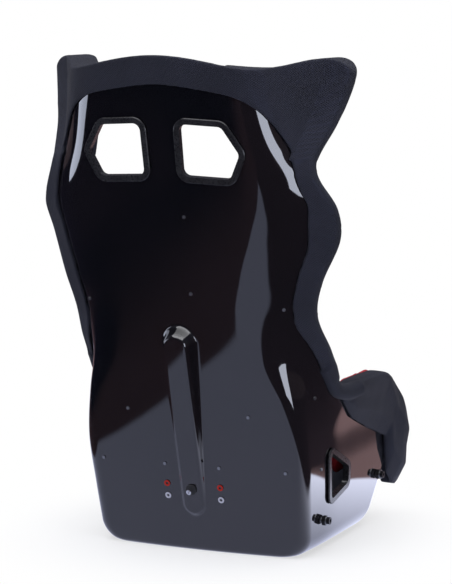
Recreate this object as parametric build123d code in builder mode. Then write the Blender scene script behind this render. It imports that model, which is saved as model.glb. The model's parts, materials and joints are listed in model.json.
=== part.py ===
"""Racing bucket seat: a one-piece laminated shell with knitted covers, removable cushions and its fittings.

Frame: X to the sitter's right and left, +Y the way the sitter faces, +Z up. The origin is the middle of the
flat base that the shell stands on. Millimetres.
"""

from build123d import *
from collections import namedtuple
from math import atan2, cos, hypot, sin, sqrt, tan
import os

os.makedirs("parts", exist_ok=True)

# ---------------------------------------------------------------- shell, driving dimensions
WALL = 5.0  # laminate thickness
BASE_DEPTH = 296.0  # flat base, rear edge to front break
HEEL_ROUND = 8.0  # radius of the rounding along the base's rear edge
RAKE = 0.205  # how far the back leans rearward for each millimetre of height
BACK_CROWN = 8.0  # rearward bulge of the back panel over its width
NOSE_SLOPE = 0.8  # how far the nose's underside runs forward for each millimetre that it climbs
NOSE_BREAK = 40.0  # radius of the bend from the flat base to the nose
NOSE_REACH = 300.0  # front end of the plan outline, ahead of the base's middle
FOOT_ROUND = 42.0  # radius of the rounding along the base's side edges
SHELL_TOP = 880.0  # crown of the head guard's top edge

THIGH_BEND = 70.0  # length over which a flared wall turns to run forward
OUTLINE_CORNER = 24.0  # front corners of the plan outline
LIP_FORE = 246.0  # front edge of the nose and of the thigh walls
THIGH_TOP = 285.0  # top edge of the thigh walls
THIGH_SHOULDER = 150.0  # where the thigh walls' top edge starts to fall towards the front
THIGH_FRONT = 190.0  # height at which their front edge begins
NOTCH_FORE = -72.0  # corner between the thigh walls and the rib wings
CLEAR = 0.3  # gap between the laminate and what lies on it

# ---------------------------------------------------------------- fittings, driving dimensions
SLOT_PLATE = 3.0  # thickness of a belt slot's flange
SLOT_RIM = 11.0  # width of that flange round the opening
SLOT_SLEEVE = 2.5  # wall of the sleeve that lines a slot
SLOT_REACH = 9.0  # how far the sleeve reaches in past the laminate
HARNESS_HALF_GAP = 43.0  # inner side of a harness slot, from the middle
HARNESS_FOOT = 692.0  # lower side of the harness slots
HARNESS_HEAD = 773.0  # upper inner corner
LAP_SLOT_FORE = 17.0  # front side of a lap-belt slot
LAP_SLOT_REAR = -63.0  # rear side
LAP_SLOT_HEAD = 181.0
LAP_SLOT_FOOT = 98.0
CROTCH_SLOT = (34.0, 96.0)  # crotch-strap opening in the floor, fore-and-aft by across
CROTCH_SLOT_FORE = 62.0  # its middle, ahead of the base's middle

SPINE_FOOT = 92.0  # lower end of the raised spine, along the back
SPINE_HEAD = 388.0  # upper end
SPINE_FOOT_RADIUS = 23.0
SPINE_HEAD_RADIUS = 33.0
SPINE_HEIGHT = 26.0  # how far its head stands out of the back
SPINE_FOOT_HEIGHT = 8.0
SPINE_EDGE = 6.0  # eased edge along its raised face
SPINE_DRAFT = 16.0  # slope of its sides, degrees
VALVE_HEIGHT = 122.0  # height of the lumbar valve on the spine
VALVE_RADIUS = 3.5
VALVE_LENGTH = 14.0
GROMMET_RADIUS = 10.0

INSERT_SPACING = 104.0  # back-mount inserts, across
INSERT_UPPER = 125.0  # height of the upper pair
INSERT_LOWER = 102.0
INSERT_RADIUS = 4.6
INSERT_THREAD = 2.5  # radius of the thread
INSERT_LENGTH = 12.0

SIDE_MOUNTS = ((-91.0, 62.0), (176.0, 95.0))  # rear and front side mount: fore-and-aft, height
MOUNT_THREAD = 4.0  # radius of the M8 side-mount thread
MOUNT_BOSS = 16.0  # radius of the flat round each side mount
BOLT_HEAD = 6.5  # half the M8 head's width across its flats
BOLT_HEAD_HEIGHT = 5.5
WASHER_RADIUS = 9.0
WASHER_THICK = 1.6
SPACER_RADIUS = 8.0
SPACER_LENGTH = 7.0
SCREW_HEAD = 3.0  # radius of the small dome-headed screws
SCREW_SHANK = 2.0
PLATE_NUT = 7.0  # radius of the plate nut behind each

# ---------------------------------------------------------------- covers and cushions, driving dimensions
KNIT = 3.6  # knitted cover with its backing, out from the laminate
SIDE_FOAM = 24.0  # foam inside the rib and shoulder wings
THIGH_FOAM = 22.0  # foam inside the thigh walls
BOLSTER_FOOT = 322.0  # lower end of the side bolsters, above the notch
COVER_SEAM = 716.0  # seam between the side bolsters and the head guard's covers
COVER_GAP = 0.6  # gap between neighbouring covers and pads
GUARD_TOP = 887.0  # top of the guard wings' padding
CUSHION_PULL = 60.0  # travel of a cushion as it is peeled off its hook tape
TAPE_THICK = 2.0  # hook tape bonded to the laminate
TAPE_WIDTH = 25.0
BACK_SHARE = 0.3  # where the side bolsters end, along the rounded corner
GUARD_SHARE = 0.15  # where the guard wings' padding ends
HEAD_PAD_HALF = 104.0  # half-width of the pad behind the head
HEAD_PAD_FOOT = 790.0
HEAD_PAD_THICK = 40.0
TOP_ROLL = 12.0  # padding over the laminate's top edge
CUSHION_HALF = 126.0  # half-width of the back cushions
BACK_CUSHION = (402.0, 664.0, 34.0)  # lower end, upper end, thickness
LUMBAR_CUSHION = (142.0, 398.0, 38.0)
BASE_CUSHION = (-132.0, 122.0, 44.0)  # rear end, front end, thickness
BASE_CUSHION_HALF = 158.0
HIP_PAD_THICK = 24.0
THIGH_CROWN = 2.5  # crown of the thigh padding's inner face
FIT = 0.1  # gap between metal fittings that bear on each other
PAD_GAP = 1.4  # gap between soft pieces and the laminate
RIM_GAP = 2.4  # the same, ahead of the laminate's edge
GUARD_LAP = 40.0  # how far the guard wings' padding laps round the outside
SIDE_LIFT = 7.0  # padding outside the side bolsters' wall, at its edge
CHANNEL_DEPTH = 8.0  # sewn channels across the cushions
TAPE_LIFT = 0.9  # gap under the hook tapes on the crowned back
CUSHION_DEPTH = 9.0  # rear side of the back cushions, in from the outer face
LAP_STAND = 1.2  # how far the lap-belt bezels stand off the curved wall
CROTCH_WALL = 2.8  # room for the crotch slot's sleeve
CROTCH_RIM = 9.0  # flange of the crotch slot's bezel
CROTCH_ROUND = 8.0
GROMMET_LIP = 3.0
INSERT_LIP = 1.5
NUT_BARREL = 5.5
NUT_FLANGE = 12.0

# Guard wings, by height: foam inside the wall, and padding outside it at its edge.
GUARD_FOAMS = [(COVER_SEAM, 27.0), (790.0, 44.0), (900.0, 46.0)]
GUARD_LIFTS = [(COVER_SEAM, SIDE_LIFT), (790.0, 16.0), (900.0, 17.0)]
# Side bolsters: height, and how far the cover laps round the outside of the wall from its edge.
FLAP_WIDTH = [(345.0, 4.0), (412.0, 23.0), (503.0, 26.0), (595.0, 45.0), (656.0, 28.0), (716.0, 15.0)]
# Thigh bolsters, by fore-and-aft place: top of the padding, top edge of the wall, lower end of the padding
# inside, lower end of the cover outside, and padding outside the wall.
THIGH_PAD_TOP = [(-50.0, 293.0), (-24.0, 298.0), (10.0, 303.0), (60.0, 303.0), (122.0, 301.0), (177.0, 290.0), (228.0, 266.0),
                 (257.0, 240.0), (280.0, 208.0), (296.0, 176.0)]
THIGH_EDGE = [(-50.0, 285.0), (150.0, 285.0), (246.0, 190.0), (296.0, 150.0)]
THIGH_PAD_FOOT = [(-50.0, 212.0), (45.0, 212.0), (95.0, 112.0), (200.0, 112.0), (222.0, 94.0), (246.0, 64.0), (262.0, 56.0),
                  (280.0, 62.0), (296.0, 84.0)]
THIGH_FLAP = [(-60.0, 281.0), (12.0, 232.0), (111.0, 197.0), (205.0, 166.0), (222.0, 94.0), (246.0, 64.0), (262.0, 56.0),
              (280.0, 62.0), (296.0, 84.0)]
THIGH_LIFTS = [(-50.0, 14.0), (150.0, 14.0), (222.0, 18.0), (250.0, 24.0), (296.0, 26.0)]
THIGH_CAP = 248.0  # the padding closes ahead of the wall's front edge
THIGH_NOSE = [(248.0, 0.0), (266.0, 2.0), (280.0, 6.0), (288.0, 11.0), (293.0, 18.0)]  # fore-and-aft place, drawn in by
HIP_PAD_SPAN = (112.0, 288.0)  # lower and upper side of the hip pads
HEAD_PAD_TOP = [(0.0, 889.0), (50.0, 884.0), (96.0, 877.0), (110.0, 875.0)]  # sideways, top of the centre pad
KNEE_FOOT = 22.0  # lower end of the knee pad, up the nose
KNEE_THICK = 30.0
KNEE_STATIONS = [(-150.0, 8.0), (-144.0, 2.0), (-100.0, 0.0), (100.0, 0.0), (144.0, 2.0), (150.0, 8.0)]
FLOOR_REST = 7.5  # underside of the base cushion, on its tapes
BACK_TAPES = [(425.0, 640.0), (188.0, 385.0)]  # hook tapes behind the two back cushions, lower and upper end
BACK_TAPE_SIDE = 60.0  # their middle line, sideways
FLOOR_TAPES = (-95.0, 20.0)  # fore-and-aft middles of the two hook tapes across the floor
FLOOR_TAPE_HALF = 120.0
HIP_STATIONS = [(52.0, 7.0), (58.0, 1.0), (120.0, 0.0), (176.0, 1.0), (184.0, 7.0)]

# One plan outline of the moulding: its height, the half-width of the back panel's corner and that corner's
# radius, the place of the wall's edge, and how far the wall is carried on past that edge before it is trimmed.
Station = namedtuple("Station", "height back_half corner edge_half edge_fore carry")
FOOT = Station(FOOT_ROUND, 205.0, 26.0, 210.0, -50.0, 0.0)
LAP = Station(110.0, 210.0, 27.0, 215.0, -55.0, 0.0)
HIP = Station(205.0, 214.0, 28.0, 219.0, -65.0, 0.0)
THIGH = Station(295.0, 199.0, 40.0, 233.0, -84.0, 0.0)
LOIN = Station(370.0, 172.0, 52.0, 230.0, -135.0, 25.0)
WAIST = Station(440.0, 163.0, 60.0, 219.0, -183.0, 40.0)
RIB = Station(500.0, 170.0, 62.0, 232.0, -198.0, 40.0)
SHOULDER = Station(575.0, 188.0, 62.0, 261.0, -186.0, 40.0)
COLLAR = Station(630.0, 194.0, 62.0, 265.0, -209.0, 40.0)
NECK = Station(700.0, 189.0, 58.0, 237.0, -237.0, 40.0)
TEMPLE = Station(775.0, 176.0, 52.0, 246.0, -182.0, 40.0)
GUARD = Station(850.0, 160.0, 46.0, 262.0, -148.0, 40.0)
BROW = Station(900.0, 150.0, 44.0, 264.0, -150.0, 40.0)
STATIONS = [FOOT, LAP, HIP, THIGH, LOIN, WAIST, RIB, SHOULDER, COLLAR, NECK, TEMPLE, GUARD, BROW]
FOOT_LEVELS = [0.0, 2.5, 8.0, 20.0]  # heights of the outlines that round the base's edges
LEVEL_COUNT = 18  # outlines from the foot to the top


def quarter_round(radius, height):
    """How far a rounded edge of this radius still stands back at a height."""
    if height >= radius:
        return 0.0
    return radius - sqrt(radius**2 - (radius - height) ** 2)


def foot_station(height):
    """The plan outline drawn in by the rounding of the base's side edges."""
    drawn_in = quarter_round(FOOT_ROUND, height)
    return FOOT._replace(
        height=height, back_half=FOOT.back_half - drawn_in, edge_half=FOOT.edge_half - drawn_in
    )


def nose_front(height):
    """Front of the moulding: the bend out of the flat base, then the straight slope of the nose."""
    straight = BASE_DEPTH / 2 + NOSE_SLOPE * height
    slope_angle = atan2(1.0, NOSE_SLOPE)
    bend_start = BASE_DEPTH / 2 - NOSE_BREAK * sin(slope_angle) / (1 + cos(slope_angle))
    if height < NOSE_BREAK * (1 - cos(slope_angle)):
        return bend_start + sqrt(2 * NOSE_BREAK * height - height**2)
    return min(straight, NOSE_REACH)


def back_line(height):
    """Fore-and-aft place of the back panel's corners."""
    heel = quarter_round(HEEL_ROUND, height)
    return -BASE_DEPTH / 2 - HEEL_ROUND + BACK_CROWN - RAKE * height + heel


def unit(from_point, to_point):
    length = hypot(to_point[0] - from_point[0], to_point[1] - from_point[1])
    return (to_point[0] - from_point[0]) / length, (to_point[1] - from_point[1]) / length


def wall_line(station):
    """Start and direction, in plan, of the wall's outer face."""
    start = (station.back_half, back_line(station.height))
    return start, unit(start, (station.edge_half, station.edge_fore))


def outline_corners(station, inset, front_inset):
    """Half of the plan outline as corner points, set in from the outside: back, corner, bend, front."""
    (corner_x, corner_y), (along_x, along_y) = wall_line(station)
    bend_x = station.edge_half + station.carry * along_x
    bend_y = station.edge_fore + station.carry * along_y
    back = (0.0, corner_y - 2 * BACK_CROWN + inset)
    level_x, level_y = unit(back, (corner_x, corner_y + inset))
    mitre = inset / (1 + level_x * along_x + level_y * along_y)
    corner = (corner_x - mitre * (level_y + along_y), corner_y + mitre * (level_x + along_x))
    mitre = inset / (1 + along_y)
    bend = (bend_x - mitre * (along_y + 1), bend_y + mitre * along_x)
    front = (bend_x - inset, nose_front(station.height) - front_inset)
    return back, corner, bend, front


def toward(point, target, distance):
    """The point this far along the way from one point to another."""
    step_x, step_y = unit(point, target)
    return point[0] + distance * step_x, point[1] + distance * step_y


def flip(point):
    return -point[0], point[1]


def slope_at(index, field):
    """Upward slope of one station value, from the stations on either side."""
    below = STATIONS[max(index - 1, 0)]
    above = STATIONS[min(index + 1, len(STATIONS) - 1)]
    return (getattr(above, field) - getattr(below, field)) / (above.height - below.height)


def station_at(height):
    """The plan outline at any height, blended between the named stations without a kink."""
    index = max(i for i, station in enumerate(STATIONS[:-1]) if station.height <= height)
    low, high = STATIONS[index], STATIONS[index + 1]
    span = high.height - low.height
    t = (height - low.height) / span
    values = {}
    for field in ("back_half", "corner", "edge_half", "edge_fore", "carry"):
        values[field] = (
            (2 * t**3 - 3 * t**2 + 1) * getattr(low, field)
            + (t**3 - 2 * t**2 + t) * span * slope_at(index, field)
            + (3 * t**2 - 2 * t**3) * getattr(high, field)
            + (t**3 - t**2) * span * slope_at(index + 1, field)
        )
    return Station(height=height, **values)


def moulding_stations():
    """Every outline that the moulding is lofted through, from the floor up."""
    rise = (BROW.height - FOOT.height) / (LEVEL_COUNT - 1)
    heights = sorted([FOOT.height + rise * level for level in range(LEVEL_COUNT - 1)] + [COVER_SEAM + COVER_GAP / 2])
    body = [station_at(height) for height in heights]
    return [foot_station(level) for level in FOOT_LEVELS] + body + [BROW]


LEVELS = moulding_stations()


def lofted_station(height):
    """The plan outline at a height as the loft leaves it: straight between one level and the next."""
    index = max(i for i, level in enumerate(LEVELS[:-1]) if level.height <= height)
    low, high = LEVELS[index], LEVELS[index + 1]
    share = (height - low.height) / (high.height - low.height)
    return Station(*(a + share * (b - a) for a, b in zip(low, high)))


def plan_outline(station, inset=0.0, front_inset=0.0):
    """Closed plan outline of the moulding at one station, with its corners blended."""
    back, corner, bend, front = outline_corners(station, inset, front_inset)
    corner_start = toward(corner, back, station.corner - inset / 2)
    corner_end = toward(corner, bend, station.corner - inset / 2)
    bend_start = toward(bend, corner, THIGH_BEND / 2)
    bend_end = toward(bend, front, THIGH_BEND / 2)
    front_start = toward(front, bend, OUTLINE_CORNER)
    front_end = toward(front, (0.0, front[1]), OUTLINE_CORNER)
    half_turn = atan2(corner_start[1] - back[1], corner_start[0]) / 2
    apex = (0.0, corner_start[1] - corner_start[0] * tan(half_turn))
    with BuildSketch(Plane.XY.offset(station.height)) as outline:
        with BuildLine():
            ThreePointArc(flip(corner_start), apex, corner_start)
            Bezier(corner_start, corner, corner_end)
            Line(corner_end, bend_start)
            Bezier(bend_start, bend, bend_end)
            Line(bend_end, front_start)
            Line(front_start, front_end)
            Line(front_end, flip(front_end))
            Line(flip(front_end), flip(front_start))
            Line(flip(front_start), flip(bend_end))
            Bezier(flip(bend_end), flip(bend), flip(bend_start))
            Line(flip(bend_start), flip(corner_end))
            Bezier(flip(corner_end), flip(corner), flip(corner_start))
        make_face()
    return outline.sketch


def ruled_loft(sections):
    """Solid through a row of sketches, straight between neighbours."""
    with BuildPart() as form:
        for section in sections:
            add(section)
        loft(ruled=True)
    return form.part


def moulding_form(inset, front_inset=0.0, foot=0.0):
    """Solid form of the moulding, set in from the outside by a wall; its upper part alone where a foot is given."""
    return ruled_loft(plan_outline(station, inset, front_inset) for station in LEVELS if station.height >= foot)


def rim_profile(gap=0.0):
    """The moulding as trimmed in side view: nose lip, thigh walls, notch, rib and shoulder wings."""
    wing = [(st.edge_fore + gap, st.height) for st in LEVELS if st.height > LOIN.height - 20.0]
    with BuildSketch(Plane.YZ) as profile:
        with BuildLine():
            FilletPolyline(
                (-450.0, -10.0),
                (LIP_FORE + gap, -10.0),
                (LIP_FORE + gap, THIGH_FRONT),
                (THIGH_SHOULDER, THIGH_TOP + gap),
                (NOTCH_FORE + gap, THIGH_TOP + gap),
                wing[0],
                radius=[1.0, 60.0, 70.0, 28.0],
            )
            Polyline(*wing)
            Polyline(wing[-1], (-450.0, BROW.height), (-450.0, -10.0))
        make_face()
    return profile.sketch


def top_profile(gap=0.0):
    """The moulding's top edge in rear view: a crown over the head, a dip, and the wings."""
    with BuildSketch(Plane.XZ) as profile:
        with BuildLine():
            Spline(
                (-320.0, SHELL_TOP - 6.0 + gap),
                (-262.0, SHELL_TOP - 6.0 + gap),
                (-190.0, SHELL_TOP - 20.0 + gap),
                (-95.0, SHELL_TOP - 12.0 + gap),
                (0.0, SHELL_TOP + gap),
                (95.0, SHELL_TOP - 12.0 + gap),
                (190.0, SHELL_TOP - 20.0 + gap),
                (262.0, SHELL_TOP - 6.0 + gap),
                (320.0, SHELL_TOP - 6.0 + gap),
            )
            Polyline(
                (320.0, SHELL_TOP - 6.0 + gap), (320.0, -10.0), (-320.0, -10.0), (-320.0, SHELL_TOP - 6.0 + gap)
            )
        make_face()
    return profile.sketch


def trimmed(form, gap=0.0):
    """What is left of a form inside the rim profile and the top profile."""
    with BuildPart() as piece:
        add(form)
        extrude(rim_profile(gap), amount=400.0, both=True, mode=Mode.INTERSECT)
        extrude(top_profile(gap), amount=600.0, both=True, mode=Mode.INTERSECT)
    return piece.part


def moulding(gap=0.0):
    """The open laminate shell, grown on every face by a gap."""
    with BuildPart() as hollow:
        add(moulding_form(WALL + gap, (WALL + gap) * sqrt(1 + NOSE_SLOPE**2)))
        split(bisect_by=Plane.XY.offset(WALL + gap), keep=Keep.TOP)
    with BuildPart() as walls:
        add(moulding_form(-gap))
        add(hollow.part, mode=Mode.SUBTRACT)
    return trimmed(walls.part, gap)




def on_wall(height, along, depth=0.0):
    """Plan point this far along the wall from the back panel's corner and this deep inside its outer face."""
    start, step = wall_line(lofted_station(height))
    return start[0] + along * step[0] - depth * step[1], start[1] + along * step[1] + depth * step[0]


def wall_length(height):
    """Length, in plan, of the wall from the back panel's corner to its edge."""
    station = lofted_station(height)
    start, _ = wall_line(station)
    return hypot(station.edge_half - start[0], station.edge_fore - start[1])


def side_half(height):
    """Half-width of the moulding's outer face beside the thighs."""
    return lofted_station(height).edge_half


def back_face(height, sideways=0.0):
    """Fore-and-aft place of the back panel's outer face."""
    station = lofted_station(height)
    flat_half = station.back_half - station.corner
    apex = back_line(height) - BACK_CROWN * (1 + station.corner / station.back_half)
    return apex + BACK_CROWN * sideways**2 / (station.back_half * flat_half)


def back_plane(height, sideways=0.0):
    """Plane touching the back panel's outer face, facing rearward."""
    lean = back_face(height, sideways + 0.5) - back_face(height, sideways - 0.5)
    return Plane(origin=(sideways, back_face(height, sideways), height), x_dir=(1, lean, 0), z_dir=(lean, -1, -RAKE))


def wall_plane(height, along):
    """Plane touching the right-hand wall's outer face, facing away from the sitter."""
    here = on_wall(height, along)
    above = on_wall(height + 1.0, along)
    _, step = wall_line(lofted_station(height))
    forward = Vector(step[0], step[1], 0)
    upward = Vector(above[0] - here[0], above[1] - here[1], 1.0)
    return Plane(origin=(here[0], here[1], height), x_dir=forward, z_dir=forward.cross(upward))


# ---------------------------------------------------------------- spine and slots
UP_BACK = Vector(0, -RAKE, 1).normalized()
OUT_BACK = Vector(0, -1, -RAKE).normalized()
SPINE_BASE = Vector(0, back_face(SPINE_FOOT), SPINE_FOOT)
SPINE_LENGTH = (SPINE_HEAD - SPINE_FOOT) * sqrt(1 + RAKE**2)
SPINE_CREST = SPINE_BASE + OUT_BACK * SPINE_FOOT_HEIGHT
SPINE_RISE = (UP_BACK * SPINE_LENGTH + OUT_BACK * (SPINE_HEIGHT - SPINE_FOOT_HEIGHT)).normalized()
SPINE_FACE = Plane(origin=SPINE_CREST, x_dir=(1, 0, 0), z_dir=Vector(1, 0, 0).cross(SPINE_RISE))


def spine_form(inset=0.0, sunk=2.0):
    """The tapered rib down the middle of the back: a narrow foot, a round full-height head."""
    start = SPINE_BASE - OUT_BACK * sunk
    with BuildPart() as spine:
        with BuildSketch(Plane(origin=start, x_dir=(1, 0, 0), z_dir=OUT_BACK)) as footprint:
            Circle(SPINE_FOOT_RADIUS - inset)
            with Locations((0, SPINE_LENGTH)):
                Circle(SPINE_HEAD_RADIUS - inset)
            make_hull()
        extrude(amount=SPINE_HEIGHT + sunk + 2.0, taper=SPINE_DRAFT)
        split(bisect_by=SPINE_FACE.offset(-inset), keep=Keep.BOTTOM)
        chamfer(spine.faces().sort_by(Axis(SPINE_CREST, SPINE_FACE.z_dir))[-1].edges(), SPINE_EDGE - inset / 2)
    return spine.part


def harness_opening(grown=0.0):
    """The five-sided harness slot, right-hand side, in the plane of the back."""
    with BuildSketch() as opening:
        with BuildLine():
            FilletPolyline(
                (-55.0, 46.0),
                (21.0, 42.0),
                (51.0, -6.0),
                (31.0, -50.0),
                (-55.0, -46.0),
                radius=13.0,
                close=True,
            )
        make_face()
        if grown:
            offset(amount=grown)
    return opening.sketch


def lap_opening(grown=0.0):
    """The lap-belt slot seen from its side: tall at the rear, short at the front."""
    with BuildSketch() as opening:
        with BuildLine():
            FilletPolyline(
                (-52.0, 44.0),
                (40.0, 2.0),
                (40.0, -28.0),
                (-40.0, -45.0),
                radius=8.0,
                close=True,
            )
        make_face()
        if grown:
            offset(amount=grown)
    return opening.sketch


HARNESS_PLANE = back_plane((HARNESS_FOOT + HARNESS_HEAD) / 2, HARNESS_HALF_GAP + 48.0)


def stock(plane, outline, outward, inward):
    """Straight-sided block of one outline, reaching this far out of a plane and this far behind it."""
    with BuildPart() as block:
        with BuildSketch(plane.offset(-inward)):
            add(outline)
        extrude(amount=outward + inward)
    return block.part


def disc(plane, radius, outward, inward=0.0):
    """Round block about a plane's origin, reaching this far out of the plane and this far behind it."""
    with BuildPart() as round_block:
        with BuildSketch(plane.offset(-inward)):
            Circle(radius)
        extrude(amount=outward + inward)
    return round_block.part


def prism(plane, half_across, length):
    """Six-sided block standing on a plane."""
    with BuildPart() as block:
        with BuildSketch(plane):
            RegularPolygon(half_across, 6, major_radius=False)
        extrude(amount=length)
    return block.part


def side_face(height, fore):
    """Half-width of the moulding's outer face at a place along its side."""
    station = lofted_station(height)
    start, step = wall_line(station)
    return min(start[0] + (fore - start[1]) * step[0] / step[1], station.edge_half)


def side_mount_plane(fore, height):
    """Outer face of the flat round that a side mount is bolted to."""
    reach = side_face(height + MOUNT_BOSS, fore + MOUNT_BOSS) + CLEAR
    return Plane(origin=(reach, fore, height), x_dir=(0, 1, 0), z_dir=(1, 0, 0))


LAP_FORE = (LAP_SLOT_FORE + LAP_SLOT_REAR) / 2
LAP_HEIGHT = (LAP_SLOT_HEAD + LAP_SLOT_FOOT) / 2
LAP_LEAN = (side_half(LAP_SLOT_HEAD) - side_half(LAP_SLOT_FOOT)) / (LAP_SLOT_HEAD - LAP_SLOT_FOOT)
LAP_PLANE = Plane(origin=(side_half(LAP_HEIGHT), LAP_FORE, LAP_HEIGHT), x_dir=(0, 1, 0), z_dir=(1, 0, -LAP_LEAN))
SIDE_MOUNT_PLANES = [side_mount_plane(fore, height) for fore, height in SIDE_MOUNTS]
BOSS_DEPTH = WALL + 5.0  # a side mount's flat round, through the laminate
INSERT_PLANES = [
    back_plane(height, side * INSERT_SPACING / 2) for height in (INSERT_UPPER, INSERT_LOWER) for side in (-1, 1)
]
BACK_SCREWS = [(616.0, 30.0), (480.0, 30.0), (261.0, 117.0), (162.0, 178.0), (162.0, 53.0)]  # height, sideways
SIDE_RIVETS = [(292.0, 66.0), (158.0, 72.0)]  # height, distance along the wall
CORNER_RIVET = (456.0, 0.77)  # height, share of the rounded corner
GUARD_START = COVER_SEAM + COVER_GAP


def crest_profile():
    """Top line of the padding in rear view: over the head, down to the wings, up along their crests."""
    with BuildSketch(Plane.XZ) as profile:
        with BuildLine():
            Spline(
                (-294.0, GUARD_TOP - 64.0),
                (-288.0, GUARD_TOP - 34.0),
                (-272.0, GUARD_TOP - 10.0),
                (-246.0, GUARD_TOP - 2.0),
                (-190.0, GUARD_TOP - 15.0),
                (-100.0, GUARD_TOP - 7.0),
                (0.0, GUARD_TOP + 5.0),
                (100.0, GUARD_TOP - 7.0),
                (190.0, GUARD_TOP - 15.0),
                (246.0, GUARD_TOP - 2.0),
                (272.0, GUARD_TOP - 10.0),
                (288.0, GUARD_TOP - 34.0),
                (294.0, GUARD_TOP - 64.0),
            )
            Polyline((294.0, GUARD_TOP - 64.0), (320.0, 600.0), (-320.0, 600.0), (-294.0, GUARD_TOP - 64.0))
        make_face()
    return profile.sketch


def arch_profile():
    """Rear view of the head guard's cover: everything above its arched hem."""
    hem = [(320.0, GUARD_START), (226.0, GUARD_START), (204.0, 757.0), (181.0, 793.0), (150.0, 818.0), (90.0, 834.0)]
    with BuildSketch(Plane.XZ) as profile:
        with BuildLine():
            Polyline((320.0, 950.0), hem[0], hem[1])
            Spline(*hem[1:], (0.0, 844.0), *[flip(point) for point in hem[:0:-1]])
            Polyline(flip(hem[1]), flip(hem[0]), (-320.0, 950.0), (320.0, 950.0))
        make_face()
    return profile.sketch


def head_pad_section(sideways):
    """Side view of the pad behind the head at one place across the seat."""
    top = between(HEAD_PAD_TOP, abs(sideways))
    shrink = 8.0 if abs(sideways) == HEAD_PAD_HALF else 0.0
    thick = HEAD_PAD_THICK - shrink

    def at(height, depth):
        return back_face(height, sideways) + depth * sqrt(1 + RAKE**2), height

    rear = WALL + 1.5 * PAD_GAP
    with BuildSketch(Plane.YZ.offset(sideways)) as section:
        with BuildLine():
            Line(at(HEAD_PAD_FOOT, rear), at(top - shrink, rear))
            ThreePointArc(
                at(top - shrink, rear),
                at(top - shrink - 0.2 * thick, rear + 0.7 * thick),
                at(top - shrink - 0.75 * thick, rear + thick),
            )
            Line(at(top - shrink - 0.75 * thick, rear + thick), at(HEAD_PAD_FOOT + 18.0, rear + thick - 2.0))
            ThreePointArc(
                at(HEAD_PAD_FOOT + 18.0, rear + thick - 2.0),
                at(HEAD_PAD_FOOT + 6.0, rear + 0.75 * thick),
                at(HEAD_PAD_FOOT, rear + 0.4 * thick),
            )
            Line(at(HEAD_PAD_FOOT, rear + 0.4 * thick), at(HEAD_PAD_FOOT, rear))
        make_face()
    return section.sketch


def hip_section(fore, drawn_in):
    """Cross-section of the pad on the inner side of the thigh bolster, right-hand side."""
    low, high = HIP_PAD_SPAN[0] + drawn_in, HIP_PAD_SPAN[1] - drawn_in
    back = WALL + THIGH_FOAM + THIGH_CROWN + 1.5 * PAD_GAP
    thick = HIP_PAD_THICK - drawn_in
    heights = [low + share * (high - low) for share in (0.0, 0.1, 0.5, 0.9, 1.0)]
    depths = [0.35 * thick, 0.85 * thick, thick, 0.85 * thick, 0.35 * thick]
    front = [(thigh_wall(h, back + d), h) for h, d in zip(heights, depths)]
    rear = [(thigh_wall(low + share * (high - low), back), low + share * (high - low)) for share in (1.0, 0.6, 0.3, 0.0)]
    with BuildSketch(Plane.XZ.offset(-fore)) as section:
        with BuildLine():
            Polyline(*front, *rear, front[0])
        make_face()
    return section.sketch


def floor_block(rear, front, half, low, thick, channels):
    """Cushion lying on the floor, crowned, with drawn-in ends and cross channels."""
    stops = [0.0, 0.03, 0.1, 0.3, 0.5, 0.7, 0.9, 0.97, 1.0]
    places = sorted([rear + (front - rear) * stop for stop in stops] + list(channels))
    sections = []
    for place in places:
        share = abs(place - (rear + front) / 2) / ((front - rear) / 2)
        full = thick * (1 - 0.5 * share**6) - (CHANNEL_DEPTH if place in channels else 0.0)
        wide = half - 6.0 * share**6
        with BuildSketch(Plane.XZ.offset(-place)) as section:
            with BuildLine():
                Line((-wide, low), (wide, low))
                Line((wide, low), (wide + 3.0, low + 0.5 * full))
                Line((wide + 3.0, low + 0.5 * full), (wide - 14.0, low + 0.9 * full))
                ThreePointArc((wide - 14.0, low + 0.9 * full), (0.0, low + full), (14.0 - wide, low + 0.9 * full))
                Line((14.0 - wide, low + 0.9 * full), (-wide - 3.0, low + 0.5 * full))
                Line((-wide - 3.0, low + 0.5 * full), (-wide, low))
            make_face()
        sections.append(section.sketch)
    return ruled_loft(sections)


def knee_section(sideways, drawn_in):
    """Side view of the pad on the sloping nose, rolled over the lip."""
    slope = sqrt(1 + NOSE_SLOPE**2)
    run = Vector(NOSE_SLOPE, 1.0).normalized()
    out = Vector(-1.0, NOSE_SLOPE).normalized()
    foot = Vector(BASE_DEPTH / 2 + NOSE_SLOPE * KNEE_FOOT, KNEE_FOOT) + out * (WALL + PAD_GAP)
    length = (LIP_FORE - foot.X) / run.X
    thick = KNEE_THICK - drawn_in

    def at(along, depth):
        point = foot + run * along + out * depth
        return point.X, point.Y

    lip = LIP_FORE + 2 * PAD_GAP
    lip_low = (LIP_FORE - BASE_DEPTH / 2) / NOSE_SLOPE
    with BuildSketch(Plane.YZ.offset(sideways)) as section:
        with BuildLine():
            Polyline(
                at(drawn_in, 0.0),
                at(drawn_in, 0.5 * thick),
                at(drawn_in + 10.0, 0.9 * thick),
                at(0.5 * length, thick),
                at(length + 4.0, thick),
                (lip + 15.0 - drawn_in / 2, lip_low + 14.0),
                (lip + 15.0 - drawn_in / 2, lip_low + 2.0),
                (lip + 9.0, lip_low - 8.0),
                (lip, lip_low - 8.0),
                (lip, at(length, 0.0)[1] + 1.2 * slope),
                at(drawn_in, 0.0),
            )
        make_face()
    return section.sketch


def between(table, place):
    """Value read from a short table of (place, value) steps, straight between its rows."""
    rows = [row for row in table[:-1] if row[0] <= place] or table[:1]
    low = rows[-1]
    high = table[table.index(low) + 1]
    return low[1] + (place - low[0]) / (high[0] - low[0]) * (high[1] - low[1])


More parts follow.
